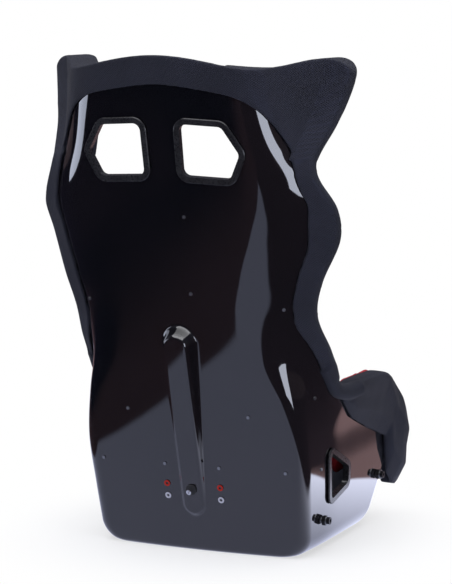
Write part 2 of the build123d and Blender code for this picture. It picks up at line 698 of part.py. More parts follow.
def corner_run(height, share, inset):
    """The rounded corner beside the back at a depth: from a share of its length on, as curve points."""
    station = lofted_station(height)
    back, corner, bend, _ = outline_corners(station, inset, 0.0)
    start = toward(corner, back, station.corner - inset / 2)
    end = toward(corner, bend, station.corner - inset / 2)
    rest = 1 - share
    here = tuple(rest**2 * a + 2 * rest * share * c + share**2 * b for a, c, b in zip(start, corner, end))
    pull = tuple(rest * c + share * b for c, b in zip(corner, end))
    return here, pull, end


def corner_plane(height, share):
    """Plane touching the outer face of the rounded corner beside the back, facing outward."""
    (here_x, here_y), (ahead_x, ahead_y), _ = corner_run(height, share, 0.0)
    (above_x, above_y), _, _ = corner_run(height + 1.0, share, 0.0)
    forward = Vector(ahead_x - here_x, ahead_y - here_y, 0)
    upward = Vector(above_x - here_x, above_y - here_y, 1.0)
    return Plane(origin=(here_x, here_y, height), x_dir=forward, z_dir=forward.cross(upward))


def bolster_section(height, foam, share, flap, lift):
    """Plan section of padding hooked over a wall's edge, right-hand side."""
    edge = wall_length(height)
    outer = -KNIT - lift
    inner = WALL + foam
    nose = (inner - outer) / 2 - 1.0
    lean = nose * (1 - sqrt(0.5))

    def at(along, depth):
        return on_wall(height, along, depth)

    root, pull, corner_end = corner_run(height, share, WALL + PAD_GAP)
    face, _, _ = corner_run(height, share, WALL + 0.55 * foam)
    with BuildSketch(Plane.XY.offset(height)) as section:
        with BuildLine():
            Line(at(edge - flap, -KNIT), at(edge, outer))
            ThreePointArc(at(edge, outer), at(edge + nose - lean, outer + lean), at(edge + nose, outer + nose))
            Line(at(edge + nose, outer + nose), at(edge + nose, inner - nose))
            ThreePointArc(at(edge + nose, inner - nose), at(edge + nose - lean, inner - lean), at(edge, inner))
            Bezier(at(edge, inner), at(0.45 * edge, inner), face)
            Line(face, root)
            Bezier(root, pull, corner_end)
            Line(corner_end, at(edge + RIM_GAP, WALL + PAD_GAP))
            Line(at(edge + RIM_GAP, WALL + PAD_GAP), at(edge + RIM_GAP, -PAD_GAP))
            Line(at(edge + RIM_GAP, -PAD_GAP), at(edge - flap, -PAD_GAP))
            Line(at(edge - flap, -PAD_GAP), at(edge - flap, -KNIT))
        make_face()
    return section.sketch


def rim_plug_section(height):
    """Plan section of the space that a guard pad leaves for the laminate, right-hand side."""
    edge = wall_length(height)
    ends = [(edge - GUARD_LAP, -PAD_GAP), (edge + RIM_GAP, -PAD_GAP), (edge + RIM_GAP, WALL + PAD_GAP)]
    ends.append((edge - GUARD_LAP, WALL + PAD_GAP))
    corners = [on_wall(height, along, depth) for along, depth in ends]
    with BuildSketch(Plane.XY.offset(height)) as section:
        with BuildLine():
            Polyline(*corners, corners[0])
        make_face()
    return section.sketch


def lap_profile():
    """Side view of what lies behind the guard pads' laps."""
    steps = [h for h in [GUARD_START - 40.0] + [st.height for st in LEVELS] if h >= GUARD_START - 40.0]
    line = [(on_wall(h, wall_length(h) - GUARD_LAP - 1.0, -KNIT)[1], h) for h in steps]
    with BuildSketch(Plane.YZ) as profile:
        with BuildLine():
            Polyline(line[0], *line[1:], (-450.0, line[-1][1]), (-450.0, line[0][1]), line[0])
        make_face()
    return profile.sketch


def thigh_wall(height, depth):
    """Half-width at a depth inside the thigh wall's outer face."""
    return side_half(height) - depth


def nose_clearance(fore):
    """Height at which padding inside a thigh wall clears the nose and its front corner."""
    corner = OUTLINE_CORNER + WALL * sqrt(1 + NOSE_SLOPE**2)
    return (fore - BASE_DEPTH / 2 + corner) / NOSE_SLOPE + 2 * PAD_GAP


def thigh_section(fore, drawn_in=0.0, slotted=True):
    """Cross-section of the thigh bolster hooked over its wall, right-hand side."""
    top = between(THIGH_PAD_TOP, fore) - drawn_in
    edge = min(THIGH_TOP, between(THIGH_EDGE, fore)) + RIM_GAP
    low = between(THIGH_PAD_FOOT, fore) + drawn_in
    if slotted:
        low = max(low, nose_clearance(fore))
    flap = between(THIGH_FLAP, fore)
    inner = WALL + THIGH_FOAM - drawn_in
    lift = -min(between(THIGH_LIFTS, fore), 0.35 * (edge - flap))
    outer = lift - KNIT + drawn_in

    def run(from_height, to_height, depth, bow):
        heights = [from_height + share * (to_height - from_height) for share in (0.33, 0.67)]
        return [
            (thigh_wall(from_height, depth), from_height),
            *[(thigh_wall(height, depth + bow), height) for height in heights],
            (thigh_wall(to_height, depth), to_height),
        ]

    cover = run(flap, edge, outer, -0.25 * lift)
    cover[0] = (thigh_wall(flap, min(drawn_in - KNIT, -PAD_GAP - 1.0)), flap)
    inside = run(edge, low, inner, THIGH_CROWN)
    inside[-1] = (thigh_wall(low, WALL + 0.6 * (inner - WALL)), low)
    shoulder, chest = cover[-1], inside[0]
    rise = top - edge
    knee_out = (shoulder[0] + 0.08 * (chest[0] - shoulder[0]), edge + 0.72 * rise)
    knee_in = (chest[0] + 0.08 * (shoulder[0] - chest[0]), edge + 0.72 * rise)
    crown_out = (shoulder[0] + 0.33 * (chest[0] - shoulder[0]), top)
    crown_in = (chest[0] + 0.33 * (shoulder[0] - chest[0]), top)
    outline = [*cover, knee_out, crown_out, crown_in, knee_in, *inside]
    if slotted:
        outline += run(low, edge, WALL + PAD_GAP, 0.15)
        outline += run(edge, flap, -PAD_GAP, -0.15)
    with BuildSketch(Plane.XZ.offset(-fore)) as section:
        with BuildLine():
            Polyline(*outline, outline[0])
        make_face()
    return section.sketch


def reclined_block(foot, head, half, depth, thick, channels=()):
    """Cushion lying on the inside of the back, crowned, with drawn-in ends and cross channels."""
    middle = (foot + head) / 2
    reach = (head - foot) / 2
    stops = [0.0, 0.02, 0.07, 0.16, 0.3, 0.5, 0.7, 0.84, 0.93, 0.98, 1.0]
    heights = sorted([foot + (head - foot) * stop for stop in stops] + list(channels))
    sections = []
    for height in heights:
        share = abs(height - middle) / reach
        full = thick * (1 - 0.72 * share**6) - (CHANNEL_DEPTH if height in channels else 0.0)
        wide = half - 7.0 * share**6
        rear_side = back_face(height, wide) + depth
        rear_middle = back_face(height) + depth
        with BuildSketch(Plane.XY.offset(height)) as section:
            with BuildLine():
                ThreePointArc((-wide, rear_side), (0.0, rear_middle), (wide, rear_side))
                Line((wide, rear_side), (wide + 2.0, rear_side + 0.45 * full))
                Line((wide + 2.0, rear_side + 0.45 * full), (wide - 12.0, rear_side + 0.85 * full))
                ThreePointArc(
                    (wide - 12.0, rear_side + 0.85 * full),
                    (0.0, rear_middle + full),
                    (12.0 - wide, rear_side + 0.85 * full),
                )
                Line((12.0 - wide, rear_side + 0.85 * full), (-wide - 2.0, rear_side + 0.45 * full))
                Line((-wide - 2.0, rear_side + 0.45 * full), (-wide, rear_side))
            make_face()
        sections.append(section.sketch)
    return ruled_loft(sections)


def both_sides(piece):
    """A piece and its mirror image across the seat."""
    with BuildPart() as pair:
        add(piece)
        mirror(about=Plane.YZ)
    return pair.part


def publish(piece, name):
    piece.label = name
    export_step(piece, f"parts/{name}.step")


# ---------------------------------------------------------------- shell
HARNESS_CUT = stock(HARNESS_PLANE, harness_opening(SLOT_SLEEVE + CLEAR), 12.0, 30.0)
LAP_CUT = stock(LAP_PLANE, lap_opening(SLOT_SLEEVE + CLEAR), 12.0, 20.0)
SCREW_PLANES = [back_plane(height, sideways) for height, sideways in BACK_SCREWS]
SCREW_PLANES += [back_plane(height, -sideways) for height, sideways in BACK_SCREWS[2:]]
RIVET_PLANES = [corner_plane(*CORNER_RIVET)] + [wall_plane(height, along) for height, along in SIDE_RIVETS]
VALVE_PLANE = Plane(
    origin=SPINE_CREST + SPINE_RISE * (VALVE_HEIGHT - SPINE_FOOT),
    x_dir=(1, 0, 0),
    z_dir=SPINE_FACE.z_dir,
)

with BuildPart() as seat_shell:
    add(moulding())
    add(spine_form())
    for plane in SIDE_MOUNT_PLANES:
        add(both_sides(disc(plane, MOUNT_BOSS, 0.0, BOSS_DEPTH)))
    add(spine_form(WALL, WALL + 6.0), mode=Mode.SUBTRACT)
    add(both_sides(HARNESS_CUT), mode=Mode.SUBTRACT)
    add(both_sides(LAP_CUT), mode=Mode.SUBTRACT)
    for plane in SIDE_MOUNT_PLANES:
        add(both_sides(disc(plane, NUT_BARREL + CLEAR, 2.0, 20.0)), mode=Mode.SUBTRACT)
    for plane in RIVET_PLANES:
        add(both_sides(disc(plane, SCREW_SHANK + FIT, 4.0, 10.0)), mode=Mode.SUBTRACT)
    for plane in SCREW_PLANES:
        add(disc(plane, SCREW_SHANK + FIT, 4.0, 10.0), mode=Mode.SUBTRACT)
    for plane in INSERT_PLANES:
        add(disc(plane, INSERT_RADIUS + FIT, 4.0, 10.0), mode=Mode.SUBTRACT)
    add(disc(VALVE_PLANE, GROMMET_RADIUS - GROMMET_LIP + FIT, 4.0, 12.0), mode=Mode.SUBTRACT)
    with BuildSketch(Plane.XY.offset(-5.0)):
        with Locations((0, CROTCH_SLOT_FORE)):
            RectangleRounded(CROTCH_SLOT[1] + 2 * CROTCH_WALL, CROTCH_SLOT[0] + 2 * CROTCH_WALL, CROTCH_ROUND)
    extrude(amount=20.0, mode=Mode.SUBTRACT)
publish(seat_shell.part, "seat_shell")

# ---------------------------------------------------------------- belt slots
with BuildPart() as harness_bezel_right:
    with BuildSketch(HARNESS_PLANE.offset(CLEAR)):
        add(harness_opening(SLOT_RIM))
        add(harness_opening(), mode=Mode.SUBTRACT)
    extrude(amount=SLOT_PLATE)
    chamfer(faces().sort_by(Axis(HARNESS_PLANE.origin, HARNESS_PLANE.z_dir))[-1].outer_wire().edges(), 1.2)
    with BuildSketch(HARNESS_PLANE.offset(CLEAR)):
        add(harness_opening(SLOT_SLEEVE))
        add(harness_opening(), mode=Mode.SUBTRACT)
    extrude(amount=-SLOT_REACH)
publish(harness_bezel_right.part, "harness_bezel_right")
publish(mirror(harness_bezel_right.part, about=Plane.YZ), "harness_bezel_left")

with BuildPart() as lap_belt_bezel_right:
    with BuildSketch(LAP_PLANE.offset(LAP_STAND)):
        add(lap_opening(SLOT_RIM))
        add(lap_opening(), mode=Mode.SUBTRACT)
    extrude(amount=SLOT_PLATE)
    chamfer(faces().sort_by(Axis(LAP_PLANE.origin, LAP_PLANE.z_dir))[-1].outer_wire().edges(), 1.2)
    with BuildSketch(LAP_PLANE.offset(LAP_STAND)):
        add(lap_opening(SLOT_SLEEVE))
        add(lap_opening(), mode=Mode.SUBTRACT)
    extrude(amount=-SLOT_REACH)
publish(lap_belt_bezel_right.part, "lap_belt_bezel_right")
publish(mirror(lap_belt_bezel_right.part, about=Plane.YZ), "lap_belt_bezel_left")

with BuildPart() as crotch_strap_bezel:
    with BuildSketch(Plane.XY.offset(WALL + FIT)):
        with Locations((0, CROTCH_SLOT_FORE)):
            RectangleRounded(CROTCH_SLOT[1] + 2 * CROTCH_RIM, CROTCH_SLOT[0] + 2 * CROTCH_RIM, CROTCH_ROUND + 4.0)
            RectangleRounded(CROTCH_SLOT[1], CROTCH_SLOT[0], CROTCH_ROUND, mode=Mode.SUBTRACT)
    extrude(amount=SLOT_PLATE)
    with BuildSketch(Plane.XY.offset(0.5)):
        with Locations((0, CROTCH_SLOT_FORE)):
            sleeve = CROTCH_WALL - CLEAR
            RectangleRounded(CROTCH_SLOT[1] + 2 * sleeve, CROTCH_SLOT[0] + 2 * sleeve, CROTCH_ROUND)
            RectangleRounded(CROTCH_SLOT[1], CROTCH_SLOT[0], CROTCH_ROUND, mode=Mode.SUBTRACT)
    extrude(amount=WALL)
publish(crotch_strap_bezel.part, "crotch_strap_bezel")

# ---------------------------------------------------------------- back inserts, valve
for name, planes in (("back_inserts_upper", INSERT_PLANES[:2]), ("back_inserts_lower", INSERT_PLANES[2:])):
    with BuildPart() as inserts:
        for plane in planes:
            add(disc(plane, INSERT_RADIUS, INSERT_LIP, INSERT_LENGTH))
            add(disc(plane.offset(FIT), INSERT_RADIUS + 1.2, INSERT_LIP - FIT))
            add(disc(plane, INSERT_THREAD, INSERT_LIP + 1.0, INSERT_LENGTH + 1.0), mode=Mode.SUBTRACT)
    publish(inserts.part, name)

with BuildPart() as valve_grommet:
    add(disc(VALVE_PLANE.offset(FIT), GROMMET_RADIUS, 2.5))
    add(disc(VALVE_PLANE, GROMMET_RADIUS - GROMMET_LIP, FIT, WALL + 1.5))
    add(disc(VALVE_PLANE, VALVE_RADIUS + FIT, 4.0, WALL + 3.0), mode=Mode.SUBTRACT)
publish(valve_grommet.part, "valve_grommet")

with BuildPart() as lumbar_valve:
    add(disc(VALVE_PLANE, VALVE_RADIUS, VALVE_LENGTH, WALL + 6.0))
    add(disc(VALVE_PLANE.offset(VALVE_LENGTH - 6.0), VALVE_RADIUS + 1.2, 5.0))
    add(disc(VALVE_PLANE.offset(VALVE_LENGTH - 5.0), 1.5, 6.0), mode=Mode.SUBTRACT)
publish(lumbar_valve.part, "lumbar_valve")

# ---------------------------------------------------------------- side mounts
with BuildPart() as side_mount_nuts:
    for plane in SIDE_MOUNT_PLANES:
        add(both_sides(disc(plane, NUT_BARREL, -0.5, BOSS_DEPTH)))
        add(both_sides(disc(plane.offset(-BOSS_DEPTH - FIT), NUT_FLANGE, 0.0, 2.0)))
        add(both_sides(disc(plane.offset(-BOSS_DEPTH), NUT_BARREL, 0.0, 1.0)))
        add(both_sides(disc(plane, MOUNT_THREAD + FIT, 5.0, 20.0)), mode=Mode.SUBTRACT)
publish(side_mount_nuts.part, "side_mount_nuts")

with BuildPart() as side_mount_spacers:
    for plane in SIDE_MOUNT_PLANES:
        add(both_sides(prism(plane.offset(FIT), SPACER_RADIUS, SPACER_LENGTH)))
        add(both_sides(disc(plane, MOUNT_THREAD + CLEAR, 20.0)), mode=Mode.SUBTRACT)
publish(side_mount_spacers.part, "side_mount_spacers")

with BuildPart() as side_mount_washers:
    for plane in SIDE_MOUNT_PLANES:
        rest = plane.offset(SPACER_LENGTH + 2 * FIT)
        add(both_sides(disc(rest, WASHER_RADIUS, WASHER_THICK)))
        add(both_sides(disc(rest, MOUNT_THREAD + CLEAR, 5.0, 5.0)), mode=Mode.SUBTRACT)
publish(side_mount_washers.part, "side_mount_washers")

with BuildPart() as side_mount_bolts:
    for plane in SIDE_MOUNT_PLANES:
        rest = plane.offset(SPACER_LENGTH + WASHER_THICK + 3 * FIT)
        add(both_sides(disc(rest, BOLT_HEAD, BOLT_HEAD_HEIGHT)))
        add(both_sides(disc(rest, MOUNT_THREAD, 0.0, SPACER_LENGTH + WASHER_THICK + BOSS_DEPTH)))
        add(both_sides(prism(rest.offset(BOLT_HEAD_HEIGHT), 3.0, -3.5)), mode=Mode.SUBTRACT)
publish(side_mount_bolts.part, "side_mount_bolts")

# ---------------------------------------------------------------- screws and rivets
with BuildPart() as shell_screws:
    for plane in SCREW_PLANES:
        add(disc(plane.offset(FIT), SCREW_HEAD, 1.6))
        add(disc(plane, SCREW_SHANK, 1.0, WALL + 1.5))
publish(shell_screws.part, "shell_screws")

with BuildPart() as screw_plate_nuts:
    for plane in SCREW_PLANES:
        seat = plane.offset(-WALL - 2 * FIT)
        add(disc(seat, PLATE_NUT, 0.0, 1.4))
        add(disc(seat, SCREW_SHANK + FIT, 2.0, 4.0), mode=Mode.SUBTRACT)
publish(screw_plate_nuts.part, "screw_plate_nuts")

with BuildPart() as wall_rivets:
    for plane in RIVET_PLANES:
        add(both_sides(disc(plane.offset(FIT), SCREW_HEAD, 1.6)))
        add(both_sides(disc(plane, SCREW_SHANK, 1.0, WALL)))
publish(wall_rivets.part, "wall_rivets")

# ---------------------------------------------------------------- bolsters and head guard
SIDE_LEVELS = [BOLSTER_FOOT] + [st.height for st in LEVELS if 330.0 < st.height < COVER_SEAM - 12.0] + [COVER_SEAM]
side_bolster = ruled_loft(
    bolster_section(h, SIDE_FOAM, BACK_SHARE, max(between(FLAP_WIDTH, h), 4.0), SIDE_LIFT) for h in SIDE_LEVELS
)
publish(side_bolster, "side_bolster_right")
publish(mirror(side_bolster, about=Plane.YZ), "side_bolster_left")

GUARD_LEVELS = [GUARD_START] + [st.height for st in LEVELS if GUARD_START + 12.0 < st.height]
with BuildPart() as guard_pad_right:
    add(ruled_loft(rim_plug_section(h) for h in GUARD_LEVELS[-3:]))
    extrude(top_profile(PAD_GAP), amount=600.0, both=True, mode=Mode.SUBTRACT)
    add(
        ruled_loft(
            bolster_section(h, between(GUARD_FOAMS, h), GUARD_SHARE, GUARD_LAP, between(GUARD_LIFTS, h))
            for h in GUARD_LEVELS
        )
    )
    extrude(crest_profile(), amount=600.0, both=True, mode=Mode.INTERSECT)
publish(guard_pad_right.part, "guard_pad_right")
publish(mirror(guard_pad_right.part, about=Plane.YZ), "guard_pad_left")

with BuildPart() as under_cover:
    add(moulding_form(-PAD_GAP, 0.0, COVER_SEAM - 60.0))
    extrude(top_profile(PAD_GAP), amount=600.0, both=True, mode=Mode.INTERSECT)
with BuildPart() as head_cover:
    add(moulding_form(-KNIT, 0.0, COVER_SEAM - 60.0))
    add(moulding_form(WALL, 0.0, COVER_SEAM - 60.0), mode=Mode.SUBTRACT)
    add(under_cover.part, mode=Mode.SUBTRACT)
    extrude(crest_profile(), amount=600.0, both=True, mode=Mode.INTERSECT)
    extrude(lap_profile(), amount=400.0, both=True, mode=Mode.INTERSECT)
    extrude(arch_profile(), amount=600.0, both=True, mode=Mode.INTERSECT)
publish(head_cover.part, "head_cover")

head_pad = ruled_loft(head_pad_section(x) for x in (-HEAD_PAD_HALF, -96.0, -50.0, 0.0, 50.0, 96.0, HEAD_PAD_HALF))
publish(head_pad, "head_centre_pad")

THIGH_STATIONS = [-48.0, -20.0, 10.0, 45.0, 70.0, 95.0, 122.0, 150.0, 177.0, 204.0, 222.0, 238.0, THIGH_CAP]
with BuildPart() as thigh_bolster_right:
    add(ruled_loft(thigh_section(y) for y in THIGH_STATIONS))
    add(ruled_loft(thigh_section(y, drawn, False) for y, drawn in THIGH_NOSE))
publish(thigh_bolster_right.part, "thigh_bolster_right")
publish(mirror(thigh_bolster_right.part, about=Plane.YZ), "thigh_bolster_left")

hip_pad = ruled_loft(hip_section(y, drawn) for y, drawn in HIP_STATIONS)
publish(hip_pad, "hip_pad_right")
publish(mirror(hip_pad, about=Plane.YZ), "hip_pad_left")

# ---------------------------------------------------------------- cushions on hook tape
publish(reclined_block(*BACK_CUSHION[:2], CUSHION_HALF, CUSHION_DEPTH, BACK_CUSHION[2], (490.0, 577.0)), "back_cushion")
publish(
    reclined_block(*LUMBAR_CUSHION[:2], CUSHION_HALF, CUSHION_DEPTH, LUMBAR_CUSHION[2], (227.0, 313.0)),
    "lumbar_cushion",
)

# The floor cushion has a slot for the crotch strap; the belt passes through both.
with BuildPart() as base_cushion:
    add(floor_block(*BASE_CUSHION[:2], BASE_CUSHION_HALF, FLOOR_REST, BASE_CUSHION[2], (-48.0,)))
    with BuildSketch(Plane.XY):
        with Locations((0, CROTCH_SLOT_FORE)):
            CUSHION_SLOT = (CROTCH_SLOT[1] + 2 * CROTCH_RIM + 4.0, CROTCH_SLOT[0] + 2 * CROTCH_RIM + 4.0)
            RectangleRounded(*CUSHION_SLOT, CROTCH_ROUND + 6.0)
    extrude(amount=80.0, mode=Mode.SUBTRACT)
publish(base_cushion.part, "base_cushion")

knee_pad = ruled_loft(knee_section(x, drawn) for x, drawn in KNEE_STATIONS)
publish(knee_pad, "knee_pad")

with BuildPart() as back_tapes:
    for foot, head in BACK_TAPES:
        for side in (-1, 1):
            plane = back_plane((foot + head) / 2, side * BACK_TAPE_SIDE).offset(-WALL - TAPE_LIFT)
            with BuildSketch(plane):
                Rectangle(TAPE_WIDTH, (head - foot) * sqrt(1 + RAKE**2))
            extrude(amount=-TAPE_THICK)
publish(back_tapes.part, "back_hook_tapes")

with BuildPart() as floor_tapes:
    with BuildSketch(Plane.XY.offset(WALL + FIT)):
        with Locations(*[(0, fore) for fore in FLOOR_TAPES]):
            Rectangle(2 * FLOOR_TAPE_HALF, TAPE_WIDTH)
    extrude(amount=TAPE_THICK)
publish(floor_tapes.part, "floor_hook_tapes")
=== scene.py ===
"""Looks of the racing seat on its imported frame: lacquered laminate, knitted covers, cushions, fittings."""

import bpy
import bmesh
import json
import math
import numpy as np
from mathutils import Matrix, Vector


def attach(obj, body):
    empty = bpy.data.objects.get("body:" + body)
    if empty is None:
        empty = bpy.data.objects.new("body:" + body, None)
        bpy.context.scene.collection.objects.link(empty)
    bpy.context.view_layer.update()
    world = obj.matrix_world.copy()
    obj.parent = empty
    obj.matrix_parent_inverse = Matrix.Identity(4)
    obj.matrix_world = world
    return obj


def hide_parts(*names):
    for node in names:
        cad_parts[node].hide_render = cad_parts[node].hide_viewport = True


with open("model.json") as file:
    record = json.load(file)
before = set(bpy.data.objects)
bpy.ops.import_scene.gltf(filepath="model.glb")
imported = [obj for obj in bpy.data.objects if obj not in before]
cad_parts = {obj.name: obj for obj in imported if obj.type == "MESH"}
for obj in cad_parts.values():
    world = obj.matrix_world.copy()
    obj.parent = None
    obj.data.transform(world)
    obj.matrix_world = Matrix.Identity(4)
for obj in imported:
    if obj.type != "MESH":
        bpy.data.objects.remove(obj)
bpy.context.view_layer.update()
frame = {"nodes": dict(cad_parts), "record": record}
MM = 0.001

# ---------------------------------------------------------------- moulding, as in the frame (millimetres)
WALL = 5.0  # laminate
BASE_DEPTH = 296.0
HEEL_ROUND = 8.0  # round between the floor and the back
RAKE = 0.205  # how far the back leans for each millimetre of height
BACK_CROWN = 8.0
NOSE_SLOPE = 0.8
NOSE_BREAK = 40.0  # round under the nose
NOSE_REACH = 300.0
FOOT_ROUND = 42.0  # round between the floor and the side walls
THIGH_BEND = 70.0
OUTLINE_CORNER = 24.0  # corners beside the nose
LIP_FORE = 246.0  # front edge of the thigh walls
TRIM_TOP = 904.0
HEIGHTS = [42.0, 110.0, 205.0, 295.0, 370.0, 440.0, 500.0, 575.0, 630.0, 700.0, 775.0, 850.0, 900.0]
BACK_HALF = [205.0, 210.0, 214.0, 199.0, 172.0, 163.0, 170.0, 188.0, 194.0, 189.0, 176.0, 160.0, 150.0]
CORNER = [26.0, 27.0, 28.0, 40.0, 52.0, 60.0, 62.0, 62.0, 62.0, 58.0, 52.0, 46.0, 44.0]
EDGE_HALF = [210.0, 215.0, 219.0, 233.0, 230.0, 219.0, 232.0, 261.0, 265.0, 237.0, 246.0, 262.0, 264.0]
EDGE_FORE = [
    -50.0, -55.0, -65.0, -84.0, -135.0, -183.0, -198.0, -186.0, -209.0, -237.0, -182.0, -148.0, -150.0,
]
CARRY = [0.0, 0.0, 0.0, 0.0, 25.0, 40.0, 40.0, 40.0, 40.0, 40.0, 40.0, 40.0, 40.0]
TOP_LINE = ([0.0, 95.0, 190.0, 262.0, 320.0], [880.0, 868.0, 860.0, 874.0, 874.0])
SLOT_GROWTH = 2.8  # room for a bezel's sleeve round the shoulder and lap slots
HARNESS_CORNERS = [(-55.0, 46.0), (21.0, 42.0), (51.0, -6.0), (31.0, -50.0), (-55.0, -46.0)]
HARNESS_AT = (732.5, 91.0)  # height and place across
HARNESS_ROUND = 13.0
LAP_CORNERS = [(-52.0, 44.0), (40.0, 2.0), (40.0, -28.0), (-40.0, -45.0)]
LAP_AT = (-23.0, 139.5)  # fore-and-aft place and height
LAP_ROUND = 8.0
CROTCH_CORNERS = [(-50.8, 42.2), (50.8, 42.2), (50.8, 81.8), (-50.8, 81.8)]  # with its sleeve's room
CROTCH_ROUND = 9.0
SPINE_ENDS = (92.0, 388.0)  # heights of the spine's foot and head
SPINE_RADII = (23.0, 33.0)  # there, in the plane of the back
SPINE_RISES = (8.0, 26.0)  # there, out of the back
SPINE_DRAFT = math.radians(22.0)  # lean of its sides, gentler than the frame's
SPINE_BLEND = 9.0  # how softly its sides run into its top and the back
SPINE_BED = 3.0  # how softly its foot meets the back

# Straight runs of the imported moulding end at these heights.
COVER_SEAM = 716.35  # between the side bolsters and the head guard's covers
RUN_HEIGHTS = np.array(sorted([42.0 + 858.0 / 17 * level for level in range(18)] + [COVER_SEAM]))

# How finely the moulding's outlines are stepped.
CROWN_STEPS = (36, 26)  # by the spine, and beyond it
CROWN_NEAR = 46.0  # half the width that is stepped finely
CORNER_STEPS = 26
WALL_STEPS = 24
BEND_STEPS = 14
SIDE_STEPS = 46
NOSE_CORNER_STEPS = 4
NOSE_STEPS = 24
FLOOR_RINGS = 26
FOOT_ROWS = [0.0, 0.25, 0.8, 1.7, 3.0, 4.8, 7.0, 10.0, 14.0, 18.5, 24.0, 30.0, 36.0, 42.0, 48.0, 54.0, 60.0]
FINE_BANDS = [(66.0, 98.0), (374.0, 428.0)]  # heights of the spine's two ends
FINE_ROW, ROW = 1.8, 5.0

# ---------------------------------------------------------------- padding (millimetres)
KNIT = 3.6  # how far the knitted cover and its backing stand out from the laminate
LAP_SEAT = 1.4  # where the inner side starts of the cloth that laps round a wall, as far out
LAP_HEIGHTS = [356.0, 412.0, 503.0, 595.0, 656.0, 685.0, 705.0, 724.0]
LAP_WIDTHS = [20.0, 25.0, 28.0, 45.0, 30.0, 22.0, 26.0, 38.0]
NOTCH_RUN = [
    (348.0, -126.0), (334.0, -114.0), (320.0, -104.0), (308.0, -94.0), (299.0, -82.0),
    (293.0, -66.0), (290.0, -48.0), (290.0, -28.0), (292.0, -10.0),
]  # heights and fore-and-aft places along the notch over the thigh
NOTCH_ROLL = 16.5  # radius of the roll along it
NOTCH_DEPTH = 3.0  # its middle, inside the wall's outer face
ROLL_SIDES = 16
CHIN_REACH = 13.0  # how far the thigh bolsters' lower front swells forward
HIP_RISE = 11.0  # how far the hip pads' tops swell up


def smooth_table(places, values, place):
    """A smooth curve through a short table, read at one place or many."""
    places, values = np.array(places), np.array(values)
    ahead = np.minimum(np.arange(len(places)) + 1, len(places) - 1)
    behind = np.maximum(np.arange(len(places)) - 1, 0)
    slopes = (values[ahead] - values[behind]) / (places[ahead] - places[behind])
    place = np.clip(place, places[0], places[-1])
    low = np.clip(np.searchsorted(places, place, side="right") - 1, 0, len(places) - 2)
    span = places[low + 1] - places[low]
    t = (place - places[low]) / span
    return (
        (2 * t**3 - 3 * t**2 + 1) * values[low]
        + (t**3 - 2 * t**2 + t) * span * slopes[low]
        + (3 * t**2 - 2 * t**3) * values[low + 1]
        + (t**3 - t**2) * span * slopes[low + 1]
    )


def ease(t):
    """A smooth step from nothing to all."""
    t = np.clip(t, 0.0, 1.0)
    return t * t * (3 - 2 * t)


def quarter_round(radius, height):
    """How far a round at the floor draws an outline in at a height."""
    return 0.0 if height >= radius else radius - math.sqrt(radius**2 - (radius - height) ** 2)


class Level:
    """The moulding's plan outline at one height: back corner, wall edge and bend."""

    def __init__(self, height):
        drawn = quarter_round(FOOT_ROUND, height)
        heel = quarter_round(HEEL_ROUND, height)
        self.height = height
        self.corner = self.read(CORNER)
        self.carry = self.read(CARRY)
        self.edge = np.array([self.read(EDGE_HALF) - drawn, self.read(EDGE_FORE)])
        self.start = np.array([
            self.read(BACK_HALF) - drawn, -BASE_DEPTH / 2 - HEEL_ROUND + BACK_CROWN - RAKE * height + heel,
        ])
        run = self.edge - self.start
        self.length = float(np.hypot(*run))
        self.along = run / self.length
        self.inward = np.array([-self.along[1], self.along[0]])

    def read(self, values):
        return float(smooth_table(HEIGHTS, values, self.height))

    def front(self):
        """Where the nose stands at this height."""
        angle = math.atan2(1.0, NOSE_SLOPE)
        if self.height < NOSE_BREAK * (1 - math.cos(angle)):
            start = BASE_DEPTH / 2 - NOSE_BREAK * math.sin(angle) / (1 + math.cos(angle))
            return start + math.sqrt(2 * NOSE_BREAK * self.height - self.height**2)
        return min(BASE_DEPTH / 2 + NOSE_SLOPE * self.height, NOSE_REACH)

    def at(self, along, depth):
        """Plan point along the wall from the back corner, this deep inside its outer face."""
        return self.start + along * self.along + depth * self.inward

    def crown(self):
        """The crowned back from the middle to the start of its rounded corner."""
        back = np.array([0.0, self.start[1] - 2 * BACK_CROWN])
        end = toward(self.start, back, self.corner)
        half_turn = math.atan2(end[1] - back[1], end[0]) / 2
        apex = end[1] - end[0] * math.tan(half_turn)
        radius = (end[0] ** 2 + (end[1] - apex) ** 2) / (2 * (end[1] - apex))
        turn = math.asin(end[0] / radius)
        near = min(turn * 0.45, CROWN_NEAR / radius)
        turns = [*np.linspace(0, near, CROWN_STEPS[0], endpoint=False)]
        turns += [*np.linspace(near, turn, CROWN_STEPS[1], endpoint=False)]
        return [np.array([radius * math.sin(a), apex + radius * (1 - math.cos(a))]) for a in turns], end

    def half_outline(self):
        """Right half of the outer outline, from the middle of the back round to the middle of the front."""
        points, corner_start = self.crown()
        bend = self.edge + self.carry * self.along
        front = np.array([bend[0], self.front()])
        middle = np.array([0.0, front[1]])
        corner_end = toward(self.start, bend, self.corner)
        bend_start, bend_end = toward(bend, self.start, THIGH_BEND / 2), toward(bend, front, THIGH_BEND / 2)
        front_start, front_end = toward(front, bend, OUTLINE_CORNER), toward(front, middle, OUTLINE_CORNER)
        points += curve(corner_start, self.start, corner_end, CORNER_STEPS)
        points += line(corner_end, bend_start, WALL_STEPS)
        points += curve(bend_start, bend, bend_end, BEND_STEPS)
        points += line(bend_end, front_start, SIDE_STEPS)
        points += line(front_start, front_end, NOSE_CORNER_STEPS)
        points += line(front_end, middle, NOSE_STEPS) + [middle]
        return np.array(points)


def toward(point, target, distance):
    """The place this far from one point toward another."""
    run = target - point
    return point + distance * run / np.hypot(*run)


def line(a, b, count):
    """Points along a straight run, without its end."""
    return [a + (b - a) * t for t in np.linspace(0, 1, count, endpoint=False)]


